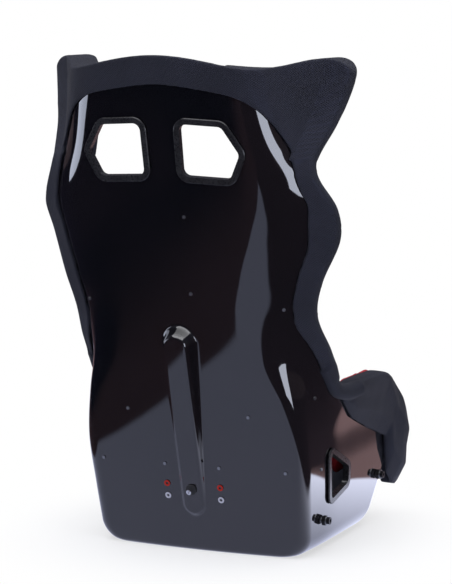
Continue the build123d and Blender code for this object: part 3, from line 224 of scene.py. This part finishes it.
def curve(a, pull, b, count):
    """Points along a bend drawn toward a corner, without its end."""
    shares = np.linspace(0, 1, count, endpoint=False)
    return [(1 - t) ** 2 * a + 2 * t * (1 - t) * pull + t**2 * b for t in shares]


def signed_distance(points, ring):
    """Distance from points to a closed outline, negative inside."""
    points, ring = np.asarray(points, float), np.asarray(ring, float)
    nearest = np.full(len(points), np.inf)
    sign = np.ones(len(points))
    for a, b in zip(ring, np.roll(ring, -1, axis=0)):
        edge, reach = b - a, points - a
        share = np.clip(reach @ edge / max(edge @ edge, 1e-12), 0, 1)
        off = reach - share[:, None] * edge
        nearest = np.minimum(nearest, (off**2).sum(1))
        above, below = points[:, 1] >= a[1], points[:, 1] < b[1]
        side = edge[0] * reach[:, 1] > edge[1] * reach[:, 0]
        sign[(above & below & side) | (~above & ~below & ~side)] *= -1
    return sign * np.sqrt(nearest)


def rounded(corners, radii, steps=9):
    """An outline with its corners rounded."""
    ring = []
    for index, radius in enumerate(radii):
        here = np.array(corners[index], float)
        if radius <= 0:
            ring.append(here)
            continue
        back = np.array(corners[index - 1], float) - here
        ahead = np.array(corners[(index + 1) % len(corners)], float) - here
        back, ahead = back / np.hypot(*back), ahead / np.hypot(*ahead)
        half = math.acos(np.clip(back @ ahead, -1, 1)) / 2
        start, end = here + back * radius / math.tan(half), here + ahead * radius / math.tan(half)
        middle = back + ahead
        centre = here + middle / np.hypot(*middle) * radius / math.sin(half)
        first = math.atan2(*(start - centre)[::-1])
        swing = (math.atan2(*(end - centre)[::-1]) - first + math.pi) % (2 * math.pi) - math.pi
        turns = first + swing * np.linspace(0, 1, steps)
        ring += [centre + radius * np.array([math.cos(turn), math.sin(turn)]) for turn in turns]
    return np.array(ring)


# ---------------------------------------------------------------- meshes
CREASE, MOULDING_CREASE, NO_CREASE = 38.0, 62.0, 180.0  # degrees past which an edge stays sharp


def placed(name, mesh, material, crease=CREASE):
    """A shown piece, smooth but for its creases."""
    piece = bpy.data.objects.new(name, mesh)
    bpy.context.scene.collection.objects.link(piece)
    mesh.materials.clear()
    mesh.materials.append(material)
    mesh.polygons.foreach_set("use_smooth", [True] * len(mesh.polygons))
    mesh.set_sharp_from_angle(angle=math.radians(crease))
    mesh.update()
    return piece


def made(name, points, faces, material):
    """A piece from points in metres."""
    mesh = bpy.data.meshes.new(name)
    mesh.from_pydata([tuple(p) for p in points], [], [tuple(int(i) for i in f) for f in faces])
    mesh.update()
    return placed(name, mesh, material)


def applied(piece):
    """Bakes a piece's modifiers into its mesh."""
    bpy.context.view_layer.update()
    baked = bpy.data.meshes.new_from_object(piece.evaluated_get(bpy.context.evaluated_depsgraph_get()))
    piece.modifiers.clear()
    old = piece.data
    piece.data = baked
    bpy.data.meshes.remove(old)
    baked.polygons.foreach_set("use_smooth", [True] * len(baked.polygons))
    baked.update()


def locations(mesh):
    """A mesh's points, one to a row."""
    spots = np.empty(3 * len(mesh.vertices))
    mesh.vertices.foreach_get("co", spots)
    return spots.reshape(-1, 3)


def moved(mesh, spots):
    """Puts a mesh's points in new places."""
    mesh.vertices.foreach_set("co", spots.ravel())
    mesh.update()


def clipped(points, faces, field):
    """The part of a surface where a field is below zero, cut along its zero line."""
    points, field = list(points), list(field)
    crossings, kept = {}, []

    def crossing(a, b):
        key = (min(a, b), max(a, b))
        if key not in crossings:
            share = field[a] / (field[a] - field[b])
            crossings[key] = len(points)
            points.append(points[a] + share * (points[b] - points[a]))
            field.append(0.0)
        return crossings[key]

    for face in faces:
        signs = [field[i] <= 0 for i in face]
        if all(signs):
            kept.append(face)
        elif any(signs):
            ring = []
            for index, here in enumerate(face):
                ahead = face[(index + 1) % len(face)]
                if field[here] <= 0:
                    ring.append(here)
                if (field[here] <= 0) != (field[ahead] <= 0):
                    ring.append(crossing(here, ahead))
            if len(ring) > 2:
                kept.append(ring)
    used = sorted({i for face in kept for i in face})
    renumbered = {old: new for new, old in enumerate(used)}
    return np.array([points[i] for i in used]), [[renumbered[i] for i in face] for face in kept]


def mirrored(points):
    """The same points on the left-hand side."""
    return [point * [-1.0, 1.0, 1.0] for point in points]


# ---------------------------------------------------------------- the laminate
def spine_rise(points):
    """How far the tapered spine stands out of the back panel at each point."""
    foot, head = SPINE_ENDS
    scale = math.sqrt(1 + RAKE**2)
    length = (head - foot) * scale
    along = (points[:, 2] - foot) * scale
    share = np.clip(along / length, 0, 1)
    slant = (SPINE_RADII[1] - SPINE_RADII[0]) / length
    shifted = np.clip((along + np.abs(points[:, 0]) * slant) / length, 0, 1)
    radius = SPINE_RADII[0] + (SPINE_RADII[1] - SPINE_RADII[0]) * shifted
    distance = np.hypot(points[:, 0], along - shifted * length) - radius
    side = -distance / math.tan(SPINE_DRAFT) - 1.0
    top = SPINE_RISES[0] + (SPINE_RISES[1] - SPINE_RISES[0]) * share
    lowest = np.clip(0.5 + 0.5 * (top - side) / SPINE_BLEND, 0, 1)
    height = top + (side - top) * lowest - SPINE_BLEND * lowest * (1 - lowest)
    height = np.maximum(height, -30.0)
    return 0.5 * (height + np.sqrt(height**2 + SPINE_BED**2)) * ease((height + SPINE_BLEND) / SPINE_BLEND)


def laminate_rows():
    """Heights of the outlines, closer together where the spine ends."""
    heights = list(FOOT_ROWS)
    while heights[-1] < TRIM_TOP - 1.0:
        fine = any(low < heights[-1] < high for low, high in FINE_BANDS)
        heights.append(heights[-1] + (FINE_ROW if fine else ROW))
    return heights[:-1] + [TRIM_TOP]


def stacked_outlines():
    """The untrimmed outer surface: a floor, and the outlines one above the other."""
    rows = []
    for height in laminate_rows():
        half = Level(height).half_outline()
        ring = np.vstack([half, half[-2:0:-1] * [-1, 1]])
        rows.append(np.column_stack([ring, np.full(len(ring), height)]))
    middle = np.array([0.0, 20.0, 0.0])
    rows = [middle + (rows[0] - middle) * share for share in np.linspace(0.0, 1.0, FLOOR_RINGS)[1:-1]] + rows
    count = len(rows[0])
    faces = [
        [r * count + c, r * count + (c + 1) % count, (r + 1) * count + (c + 1) % count, (r + 1) * count + c]
        for r in range(len(rows) - 1)
        for c in range(count)
    ]
    points = np.vstack([*rows, middle])
    faces += [[len(points) - 1, (c + 1) % count, c] for c in range(count)]
    return points, faces


def trim_field(points):
    """Below zero where laminate is left by the rim, the top line and the belt slots."""
    across, fore, height = np.abs(points[:, 0]), points[:, 1], points[:, 2]
    wing = [(float(smooth_table(HEIGHTS, EDGE_FORE, z)), z) for z in np.arange(352.0, 905.0, 6.0)]
    corners = [(-450.0, -10.0), (LIP_FORE, -10.0), (LIP_FORE, 190.0), (150.0, 285.0), (-72.0, 285.0)]
    rim = rounded(corners + wing + [(-450.0, TRIM_TOP)], [0, 0, 60.0, 70.0, 28.0] + [0] * (len(wing) + 1))
    scale = math.sqrt(1 + RAKE**2)
    harness = np.column_stack([across - HARNESS_AT[1], (height - HARNESS_AT[0]) * scale])
    lap = np.column_stack([fore - LAP_AT[0], height - LAP_AT[1]])
    slots = [
        (harness, HARNESS_CORNERS, HARNESS_ROUND, SLOT_GROWTH, fore < -200.0),
        (lap, LAP_CORNERS, LAP_ROUND, SLOT_GROWTH, across > 150.0),
        (points[:, :2], CROTCH_CORNERS, CROTCH_ROUND, 0.0, height < 2.0),
    ]
    field = signed_distance(points[:, 1:], rim)
    field = np.maximum(field, height - smooth_table(*TOP_LINE, across))
    for local, slot_corners, radius, growth, near in slots:
        outline = rounded(slot_corners, [radius] * len(slot_corners))
        field = np.maximum(field, np.where(near, -signed_distance(local, outline) + growth, -50.0))
    return field


def laminate_mesh(name, material):
    """The one-piece moulding: stacked outlines, trimmed, slotted and given their thickness."""
    points, faces = stacked_outlines()
    out = np.array([0.0, -1.0, -RAKE]) / math.sqrt(1 + RAKE**2)
    behind = (points[:, 1] < -120.0 - RAKE * points[:, 2]) & (points[:, 2] > 50.0)
    behind &= np.abs(points[:, 0]) < 60.0
    points[behind] += spine_rise(points[behind])[:, None] * out
    points, faces = clipped(points, faces, trim_field(points))
    piece = made(name, points * MM, faces, material)
    weld = piece.modifiers.new("weld", "WELD")
    weld.merge_threshold = 0.05 * MM
    thick = piece.modifiers.new("thickness", "SOLIDIFY")
    thick.thickness = WALL * MM
    thick.offset = -1.0
    thick.use_even_offset = False
    thick.use_rim = True
    applied(piece)
    piece.data.set_sharp_from_angle(angle=math.radians(MOULDING_CREASE))
    return piece


# ---------------------------------------------------------------- finishes
class Value:
    """A socket in a node tree. Ordinary maths on it adds the nodes that work it out."""

    def __init__(self, graph, socket):
        self.graph, self.socket = graph, socket

    def __add__(self, other):
        return self.graph.maths("ADD", self, other)

    def __sub__(self, other):
        return self.graph.maths("SUBTRACT", self, other)

    def __rsub__(self, other):
        return self.graph.maths("SUBTRACT", other, self)

    def __mul__(self, other):
        return self.graph.maths("MULTIPLY", self, other)

    def __truediv__(self, other):
        return self.graph.maths("DIVIDE", self, other)

    def __rtruediv__(self, other):
        return self.graph.maths("DIVIDE", other, self)

    def __pow__(self, other):
        return self.graph.maths("POWER", self, other)

    def __rpow__(self, other):
        return self.graph.maths("POWER", other, self)

    __radd__ = __add__
    __rmul__ = __mul__

    def between(self, low, high):
        """Zero below the low value, one above the high one, smooth in between."""
        return self.graph.node("ShaderNodeMapRange", {"interpolation_type": "SMOOTHSTEP"}, self, low, high)

    def parts(self):
        """The three parts of a vector."""
        split = self.graph.node("ShaderNodeSeparateXYZ", {}, self).socket.node
        return [Value(self.graph, output) for output in split.outputs]


class Graph:
    """A node tree, with one way of adding a node to it."""

    def __init__(self, tree):
        self.tree = tree

    def feed(self, socket, value):
        """Links a value to a socket, or sets a plain number or colour on it."""
        if isinstance(value, Value):
            self.tree.links.new(value.socket, socket)
        elif isinstance(value, tuple) and socket.type == "RGBA":
            socket.default_value = (*value, 1.0)
        elif value is not None:
            socket.default_value = value

    def node(self, kind, settings, *values, out=0, **links):
        """One node: its settings, then its sockets in order, then those given by name."""
        added = self.tree.nodes.new(kind)
        for key, setting in settings.items():
            setattr(added, key, setting)
        for socket, value in zip(added.inputs, values):
            self.feed(socket, value)
        for key, value in links.items():
            self.feed(added.inputs[key.replace("_", " ")], value)
        return Value(self, added.outputs[out])

    def maths(self, operation, *terms):
        """Sums on numbers by Math, and on vectors by Vector Math."""
        vector = any(isinstance(term, Value) and term.socket.type == "VECTOR" for term in terms)
        kind = "ShaderNodeVectorMath" if vector else "ShaderNodeMath"
        return self.node(kind, {"operation": operation}, *terms)

    def mix(self, share, first, second):
        """A colour between two others."""
        return self.node("ShaderNodeMix", {"data_type": "RGBA"}, share, *[None] * 5, first, second, out=2)

    def veil(self, share, first, second):
        """One shader shown through another."""
        return self.node("ShaderNodeMixShader", {}, share, first, second)


GENERATED, OBJECT = 0, 3  # which coordinates a texture follows
FACING = 1  # geometry output: which way the smooth surface faces
CAMERA_RAY, GLOSSY_RAY = 0, 3  # light path outputs


def finish(name, base, roughness, bump=None, bump_depth=0.001, bump_strength=1.0, **constants):
    """A material: makers are called with the graph and the place, plain values are set as they are."""
    material = bpy.data.materials.new(name)
    material.use_nodes = True
    graph = Graph(material.node_tree)
    surface = graph.tree.nodes["Principled BSDF"]
    place = graph.node("ShaderNodeTexCoord", {}, out=OBJECT)
    for key, maker in (("Base Color", base), ("Roughness", roughness)):
        graph.feed(surface.inputs[key], maker(graph, place) if callable(maker) else maker)
    for key, value in constants.items():
        graph.feed(surface.inputs[key.replace("_", " ")], value)
    if bump:
        raised = graph.node("ShaderNodeBump", {}, bump_strength, bump_depth, Height=bump(graph, place))
        graph.feed(surface.inputs["Normal"], raised)
    return material


def noise(graph, place, scale, detail=3.0, roughness=0.5):
    """An even cloud of light and dark."""
    return graph.node("ShaderNodeTexNoise", {}, place, None, scale, detail, roughness)


def mottled(scale, low, high, first, second):
    """A colour that drifts between two shades."""
    return lambda graph, place: graph.mix(noise(graph, place, scale).between(low, high), first, second)


def grained(scale, swing, base):
    """A roughness with a grain on it."""
    return lambda graph, place: noise(graph, place, scale) * swing + base


def pitted(scale):
    """Height of a fine even grain."""
    return lambda graph, place: noise(graph, place, scale, 2.0)


def lacquer_roughness(graph, place):
    """Near-mirror lacquer, a little duller in clouds and under dust."""
    dust = noise(graph, place, 160.0, 2.0).between(0.62, 0.8)
    return noise(graph, place, 7.0) * 0.04 + 0.035 + dust * 0.02


def lacquer_ripple(graph, place):
    """Slow waves of the moulding under the fine peel of the lacquer."""
    peel = noise(graph, place, 210.0, 1.0) * 0.10
    return noise(graph, place, 11.0, 1.0) * 2.4 + peel


MESH_PITCH, MESH_RISE = 0.0046, 0.0040  # spacing of the knit's openings, across and up


def knit_openings(graph, place):
    """Staggered openings of the spacer knit, laid on from three sides by which way the cloth faces."""
    facing = graph.node("ShaderNodeNewGeometry", {}, out=FACING).parts()
    x, y, z = place.parts()
    weights = [graph.maths("ABSOLUTE", part) ** 5.0 for part in facing]

    def opening(across, up):
        columns = graph.maths("COSINE", across * (2 * math.pi / MESH_PITCH))
        return columns * graph.maths("COSINE", up * (2 * math.pi / MESH_RISE))

    summed = opening(y, z) * weights[0] + opening(x, z) * weights[1] + opening(x, y) * weights[2]
    return (summed / (weights[0] + weights[1] + weights[2] + 0.0001)).between(0.05, 0.75)


def knit(name, yarn, painted_opening_shade):
    """Spacer knit: yarn round staggered openings, which are coloured dark as painted shade for the hollows
    behind them.
    """
    worn_yarn = tuple(min(1.0, part * 1.25 + 0.001) for part in yarn)

    def colour(graph, place):
        worn = graph.mix(noise(graph, place, 14.0, 3.0).between(0.3, 0.75), yarn, worn_yarn)
        # Painted shade: the openings take the dark colour, standing for the shade in the hollows of the knit.
        return graph.mix(knit_openings(graph, place), worn, painted_opening_shade)

    def relief(graph, place):
        fibre = noise(graph, place, 1500.0, 2.0) * 0.25
        return fibre - knit_openings(graph, place) + noise(graph, place, 30.0, 2.0) * 0.5

    return finish(
        name, colour, grained(60.0, 0.15, 0.72), relief, 0.0014, 1.0,
        Sheen_Weight=0.06, Sheen_Roughness=0.45, Specular_IOR_Level=0.25,
    )


def metal(name, colour, roughness):
    """A worked metal: duller in patches, with a fine grain."""
    patches = mottled(270.0, 0.35, 0.75, colour, tuple(part * 0.72 for part in colour))
    return finish(name, patches, grained(900.0, 0.12, roughness), pitted(900.0), 0.00005, 0.5, Metallic=1.0)


LAMINATE = finish(
    "lacquered_laminate", mottled(3.0, 0.35, 0.7, (0.0028, 0.0030, 0.0042), (0.0060, 0.0050, 0.0066)),
    lacquer_roughness, lacquer_ripple, 0.0004, 0.25,
    Coat_Weight=1.0, Coat_Roughness=0.02, Coat_IOR=1.5, IOR=1.5,
)
# The second colour of each knit is painted shade for its openings.
KNIT_BLACK = knit("spacer_knit_charcoal", (0.0145, 0.0160, 0.029), (0.0010, 0.0010, 0.0018))
FINISHES = {
    "laminate": LAMINATE,
    "bezel": finish(
        "moulded_bezel", mottled(40.0, 0.3, 0.8, (0.010, 0.010, 0.012), (0.018, 0.018, 0.021)),
        grained(300.0, 0.12, 0.22), pitted(1400.0), 0.0001, 0.4,
    ),
    "black_rubber": finish(
        "grommet_rubber", mottled(90.0, 0.4, 0.8, (0.010, 0.010, 0.011), (0.020, 0.020, 0.021)),
        grained(300.0, 0.2, 0.5), pitted(1800.0), 0.0001, 0.5,
    ),
    "hook_tape": finish(
        "hook_tape", mottled(700.0, 0.35, 0.7, (0.006, 0.006, 0.007), (0.02, 0.02, 0.022)),
        0.85, pitted(1200.0), 0.0008, 1.0,
    ),
    "mesh_knit": KNIT_BLACK,
    # Its second colour is painted shade for the red knit's openings.
    "red_knit": knit("spacer_knit_red", (0.45, 0.012, 0.022), (0.16, 0.004, 0.008)),
    "red_insert": metal("red_anodised", (0.62, 0.05, 0.035), 0.26),
    "silver_insert": metal("turned_silver", (0.72, 0.71, 0.70), 0.22),
    "bright_metal": metal("bright_plate", (0.78, 0.78, 0.80), 0.16),
    "zinc": metal("zinc_plate", (0.30, 0.31, 0.33), 0.34),
    "black_metal": metal("blackened_steel", (0.03, 0.03, 0.033), 0.34),
}
SLOT_OF = {part["node"]: part["material_slot"] for part in frame["record"]["subparts"]}
for name, carried in frame["nodes"].items():
    for slot in carried.material_slots:
        slot.material = FINISHES[SLOT_OF[name]]


# ---------------------------------------------------------------- padding
def tube(joined, rings):
    """A closed skin through rings of points, added to a mesh that is being joined."""
    rings = [[joined.verts.new(Vector(point)) for point in ring] for ring in rings]
    count = len(rings[0])
    for low, high in zip(rings, rings[1:]):
        for c in range(count):
            joined.faces.new((low[c], low[(c + 1) % count], high[(c + 1) % count], high[c]))
    joined.faces.new(rings[0][::-1])
    joined.faces.new(rings[-1])


def roll_rings(centres, radius):
    """Rings of a round roll of padding along a few points."""
    rings = []
    for index, centre in enumerate(centres):
        ahead = centres[min(index + 1, len(centres) - 1)] - centres[max(index - 1, 0)]
        ahead = ahead / np.linalg.norm(ahead)
        side = np.cross(ahead, [0.0, 0.0, 1.0])
        side = side / np.linalg.norm(side)
        up = np.cross(side, ahead)
        turns = np.linspace(0, 2 * math.pi, ROLL_SIDES, endpoint=False)
        rings.append([centre + radius * (math.cos(turn) * side + math.sin(turn) * up) for turn in turns])
    return rings


def notch_point(height, fore):
    """Middle of the notch's roll on the right-hand wall, in metres."""
    level = Level(height)
    along = (fore - level.start[1]) / level.along[1]
    return np.array([*level.at(along, NOTCH_DEPTH), height]) * MM


def lap_section(height):
    """Section of the cloth that laps round the outside of the right-hand wall's edge, in metres."""
    level = Level(height)
    lap = level.length - float(smooth_table(LAP_HEIGHTS, LAP_WIDTHS, height))
    over = level.length + 3.0
    corners = [(lap, -LAP_SEAT), (lap, -KNIT), (over, -KNIT - 5.0), (over, -LAP_SEAT)]
    return [np.array([*level.at(along, depth), height]) * MM for along, depth in corners]


def skinned(node_names, piece_name, material, voxel, passes, grown=0.0, added=()):
    """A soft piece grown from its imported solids: one closed skin, with its facets eased away."""
    joined = bmesh.new()
    for node_name in node_names:
        joined.from_mesh(frame["nodes"][node_name].data)
    for rings in added:
        tube(joined, rings)
    bmesh.ops.remove_doubles(joined, verts=joined.verts, dist=0.03 * MM)
    mesh = bpy.data.meshes.new(piece_name)
    joined.to_mesh(mesh)
    joined.free()
    piece = placed(piece_name, mesh, material, NO_CREASE)
    if grown:
        fuller = piece.modifiers.new("fuller", "DISPLACE")
        fuller.strength = grown * MM
        fuller.mid_level = 0.0
    remesh = piece.modifiers.new("skin", "REMESH")
    remesh.mode = "VOXEL"
    remesh.voxel_size = voxel * MM
    eased = piece.modifiers.new("eased", "SMOOTH")
    eased.factor = 0.5
    eased.iterations = passes
    applied(piece)
    piece.data.materials.clear()
    piece.data.materials.append(material)
    return piece


def faired(piece):
    """Carries the covers from the frame's straight runs between levels to the moulding's smooth edge line."""
    spots = locations(piece.data) / MM
    height = spots[:, 2]

    def shift(values):
        chord = np.interp(height, RUN_HEIGHTS, smooth_table(HEIGHTS, values, RUN_HEIGHTS))
        return smooth_table(HEIGHTS, values, height) - chord

    start = -BASE_DEPTH / 2 - RAKE * height
    share = np.clip((spots[:, 1] - start) / (smooth_table(HEIGHTS, EDGE_FORE, height) - start), 0.0, 1.0)
    share = share * ease((height - 350.0) / 40.0) * ease((np.abs(spots[:, 0]) - 110.0) / 50.0)
    spots[:, 0] += np.sign(spots[:, 0]) * share * shift(EDGE_HALF)
    spots[:, 1] += share * shift(EDGE_FORE)
    spots[:, 1] += CHIN_REACH * ease((spots[:, 1] - 205.0) / 60.0) * ease((215.0 - height) / 100.0)
    moved(piece.data, spots * MM)


def raised_top(piece, rise):
    """Swells a pad upward above its middle."""
    spots = locations(piece.data)
    spots[:, 2] += rise * MM * ease((spots[:, 2] - 0.22) / 0.06)
    moved(piece.data, spots)


FILL_PRESSURE = 4.0
FILL_FRAMES = 20


def swelled(piece, cap):
    """Fills a pad by cloth simulation, and lets no point move further than the cap."""
    start = locations(piece.data)
    cloth = piece.modifiers.new("filling", "CLOTH")
    cloth.settings.quality = 4
    cloth.settings.mass = 0.3
    cloth.settings.tension_stiffness = 12
    cloth.settings.compression_stiffness = 12
    cloth.settings.shear_stiffness = 4
    cloth.settings.bending_stiffness = 0.8
    cloth.settings.use_pressure = True
    cloth.settings.uniform_pressure_force = FILL_PRESSURE
    cloth.settings.effector_weights.gravity = 0.0
    cloth.collision_settings.use_collision = False
    cloth.collision_settings.use_self_collision = False
    cloth.point_cache.frame_start = 1
    cloth.point_cache.frame_end = FILL_FRAMES
    for number in range(1, FILL_FRAMES + 1):
        bpy.context.scene.frame_set(number)
    filled = bpy.data.meshes.new_from_object(piece.evaluated_get(bpy.context.evaluated_depsgraph_get()))
    end = locations(filled)
    piece.modifiers.clear()
    bpy.context.scene.frame_set(1)
    move = end - start
    reach = np.linalg.norm(move, axis=1, keepdims=True)
    moved(piece.data, start + move * np.minimum(1.0, cap * MM / np.maximum(reach, 1e-9)))
    bpy.data.meshes.remove(filled)


def subdivided(piece):
    """Halves a piece's facets, rounding them."""
    piece.modifiers.new("finer", "SUBSURF").levels = 1
    applied(piece)


def laid(piece, body, node_names):
    """Gives a soft piece its body and the solids that it stands for."""
    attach(piece, body)
    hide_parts(*node_names)


shell = laminate_mesh("laminate_moulding", LAMINATE)
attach(shell, "shell")
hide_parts("seat_shell")

COVER_NODES = [
    "side_bolster_right", "side_bolster_left", "guard_pad_right", "guard_pad_left", "head_cover",
    "thigh_bolster_right", "thigh_bolster_left",
]
right_notch = [notch_point(height, fore) for height, fore in NOTCH_RUN]
right_lap = [lap_section(height) for height in np.arange(340.0, 730.0, 8.0)]
cover_extras = [
    roll_rings(right_notch, NOTCH_ROLL * MM),
    roll_rings(mirrored(right_notch), NOTCH_ROLL * MM),
    right_lap,
    [mirrored(section[::-1]) for section in right_lap],
]
cover = skinned(
    COVER_NODES, "knitted_seat_cover", KNIT_BLACK, voxel=2.0, passes=14, grown=1.6, added=cover_extras,
)
faired(cover)
laid(cover, "shell", COVER_NODES)

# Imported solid, piece, body, voxel size, smoothing passes, most that filling swells it, and its top's rise.
PADS = [
    ("head_centre_pad", "head_rest_pad", "shell", 4.0, 6, 5.0, 0.0),
    ("hip_pad_right", "hip_side_pad_right", "shell", 4.0, 6, 4.0, HIP_RISE),
    ("hip_pad_left", "hip_side_pad_left", "shell", 4.0, 6, 4.0, HIP_RISE),
    ("knee_pad", "front_edge_pad", "shell", 4.0, 6, 4.0, 0.0),
    ("back_cushion", "back_cushion_pad", "back_pad", 4.5, 4, 7.0, 0.0),
    ("lumbar_cushion", "lumbar_cushion_pad", "lumbar_pad", 4.5, 4, 7.0, 0.0),
    ("base_cushion", "base_cushion_pad", "base_pad", 4.5, 4, 7.0, 0.0),
]
for node_name, piece_name, body, voxel, passes, cap, rise in PADS:
    pad = skinned([node_name], piece_name, FINISHES[SLOT_OF[node_name]], voxel, passes)
    if rise:
        raised_top(pad, rise)
    swelled(pad, cap)
    subdivided(pad)
    laid(pad, body, [node_name])


# ---------------------------------------------------------------- studio
def painted_floor_reflection(graph, x, y):
    """Painted reflection, glowing, that only glossy rays see: a pale floor, painted brighter at the seat's
    side, and the dark floor past its edges.
    """
    past = y * -0.53 + x * -0.848 - 0.566
    beyond = graph.mix(past.between(0.15, 0.75), (0.09, 0.056, 0.068), (0.008, 0.008, 0.016))
    # Painted light: the floor glows brighter toward the seat's side for the shell to reflect.
    glowing_paper = graph.mix((x * 0.8 + y * 0.5).between(0.02, 0.7), (0.50, 0.53, 0.72), (2.5, 2.6, 3.2))
    front = (x * 0.5 + y * 0.87).between(0.56, 0.60)
    side = x.between(0.44, 0.50)
    pale = graph.mix(front, glowing_paper, (0.42, 0.27, 0.28))
    return graph.mix(past.between(-0.01, 0.02), graph.mix(side, pale, (0.05, 0.035, 0.045)), beyond)


def floor_material():
    """White to the camera but for a soft shadow under the seat, and a glowing painted reflection map to
    glossy rays.
    """
    material = finish("studio_floor", (0.96, 0.97, 1.0), grained(3.0, 0.1, 0.6))
    graph = Graph(material.node_tree)
    place = graph.node("ShaderNodeTexCoord", {}, out=OBJECT)
    x, y, _ = place.parts()
    lit = Value(graph, graph.tree.nodes["Principled BSDF"].outputs[0])
    white = graph.node("ShaderNodeEmission", {}, (1.0, 1.0, 1.0), 1.0)
    # Glowing painted reflection, seen by glossy rays only.
    painted_reflection = graph.node("ShaderNodeEmission", {}, painted_floor_reflection(graph, x, y), 1.0)
    away = graph.node("ShaderNodeVectorMath", {"operation": "LENGTH"}, place, out=1)
    camera_ray = graph.node("ShaderNodeLightPath", {}, out=CAMERA_RAY)
    glossy_ray = graph.node("ShaderNodeLightPath", {}, out=GLOSSY_RAY)
    plain = graph.veil(camera_ray * (away.between(0.16, 0.52) * 0.4 + 0.6), lit, white)
    graph.feed(graph.tree.nodes["Material Output"].inputs["Surface"], graph.veil(glossy_ray, plain, painted_reflection))
    return material


FLOOR_REACH = 9.0
floor_corners = [(x * FLOOR_REACH, y * FLOOR_REACH, 0) for x, y in ((-1, -1), (1, -1), (1, 1), (-1, 1))]
floor = made("studio_floor", floor_corners, [(0, 1, 2, 3)], floor_material())

world = bpy.data.worlds.new("studio")
bpy.context.scene.world = world
world.use_nodes = True
room = Graph(world.node_tree)
camera_ray = room.node("ShaderNodeLightPath", {}, out=CAMERA_RAY)
_, _, upward = room.node("ShaderNodeTexCoord", {}, out=GENERATED).parts()
walls = room.mix(upward.between(0.02, 0.5), (0.10, 0.075, 0.085), (0.10, 0.10, 0.13))
background = room.tree.nodes["Background"]
room.feed(background.inputs["Color"], room.mix(camera_ray, walls, (1.0, 1.0, 1.0)))
background.inputs["Strength"].default_value = 1.0


def hung(name, data, place, turn):
    """Puts a lamp or a camera in the scene."""
    holder = bpy.data.objects.new(name, data)
    holder.location = place
    holder.rotation_euler = turn
    bpy.context.scene.collection.objects.link(holder)
    return holder


def softbox(name, wide, high, power, tint, place, turn):
    """An evenly lit oblong."""
    light = bpy.data.lights.new(name, "AREA")
    light.shape = "RECTANGLE"
    light.size, light.size_y = wide, high
    light.energy = power
    light.color = tint
    hung(name, light, place, turn)


def strip_light(name, foot, head, wide, power, tint):
    """A long softbox from its foot to its head, turned to the seat's shoulders."""
    foot, head = Vector(foot), Vector(head)
    middle, run = (foot + head) / 2, (head - foot).normalized()
    away = middle - Vector((0.0, -0.27, 0.70))
    away = (away - away.dot(run) * run).normalized()
    turn = Matrix((run.cross(away), run, away)).transposed().to_euler()
    softbox(name, wide, (head - foot).length, power, tint, middle, turn)


overhead = Vector((0.2, -0.6, 3.4))
downward = (-overhead).to_track_quat("-Z", "Y").to_euler()
softbox("overhead_softbox", 4.5, 4.5, 190.0, (0.96, 0.97, 1.0), overhead, downward)
strip_light("left_strip", (-2.8, -1.45, 0.0), (-2.8, -1.35, 0.95), 2.2, 24.0, (0.76, 0.82, 1.0))
strip_light("right_strip", (2.15, -1.45, 0.0), (2.35, -1.32, 1.1), 0.75, 15.0, (0.80, 0.85, 1.0))

camera = bpy.data.cameras.new("camera")
camera.lens = 141.8
camera.sensor_width = 36.0
swing, dip = math.radians(24.0), math.radians(7.4)
sight = Vector((-math.sin(swing) * math.cos(dip), math.cos(swing) * math.cos(dip), -math.sin(dip)))
viewer = hung("camera", camera, (1.69075, -3.83800, 0.99593), sight.to_track_quat("-Z", "Y").to_euler())
bpy.context.scene.camera = viewer
bpy.context.scene.view_settings.view_transform = "Standard"
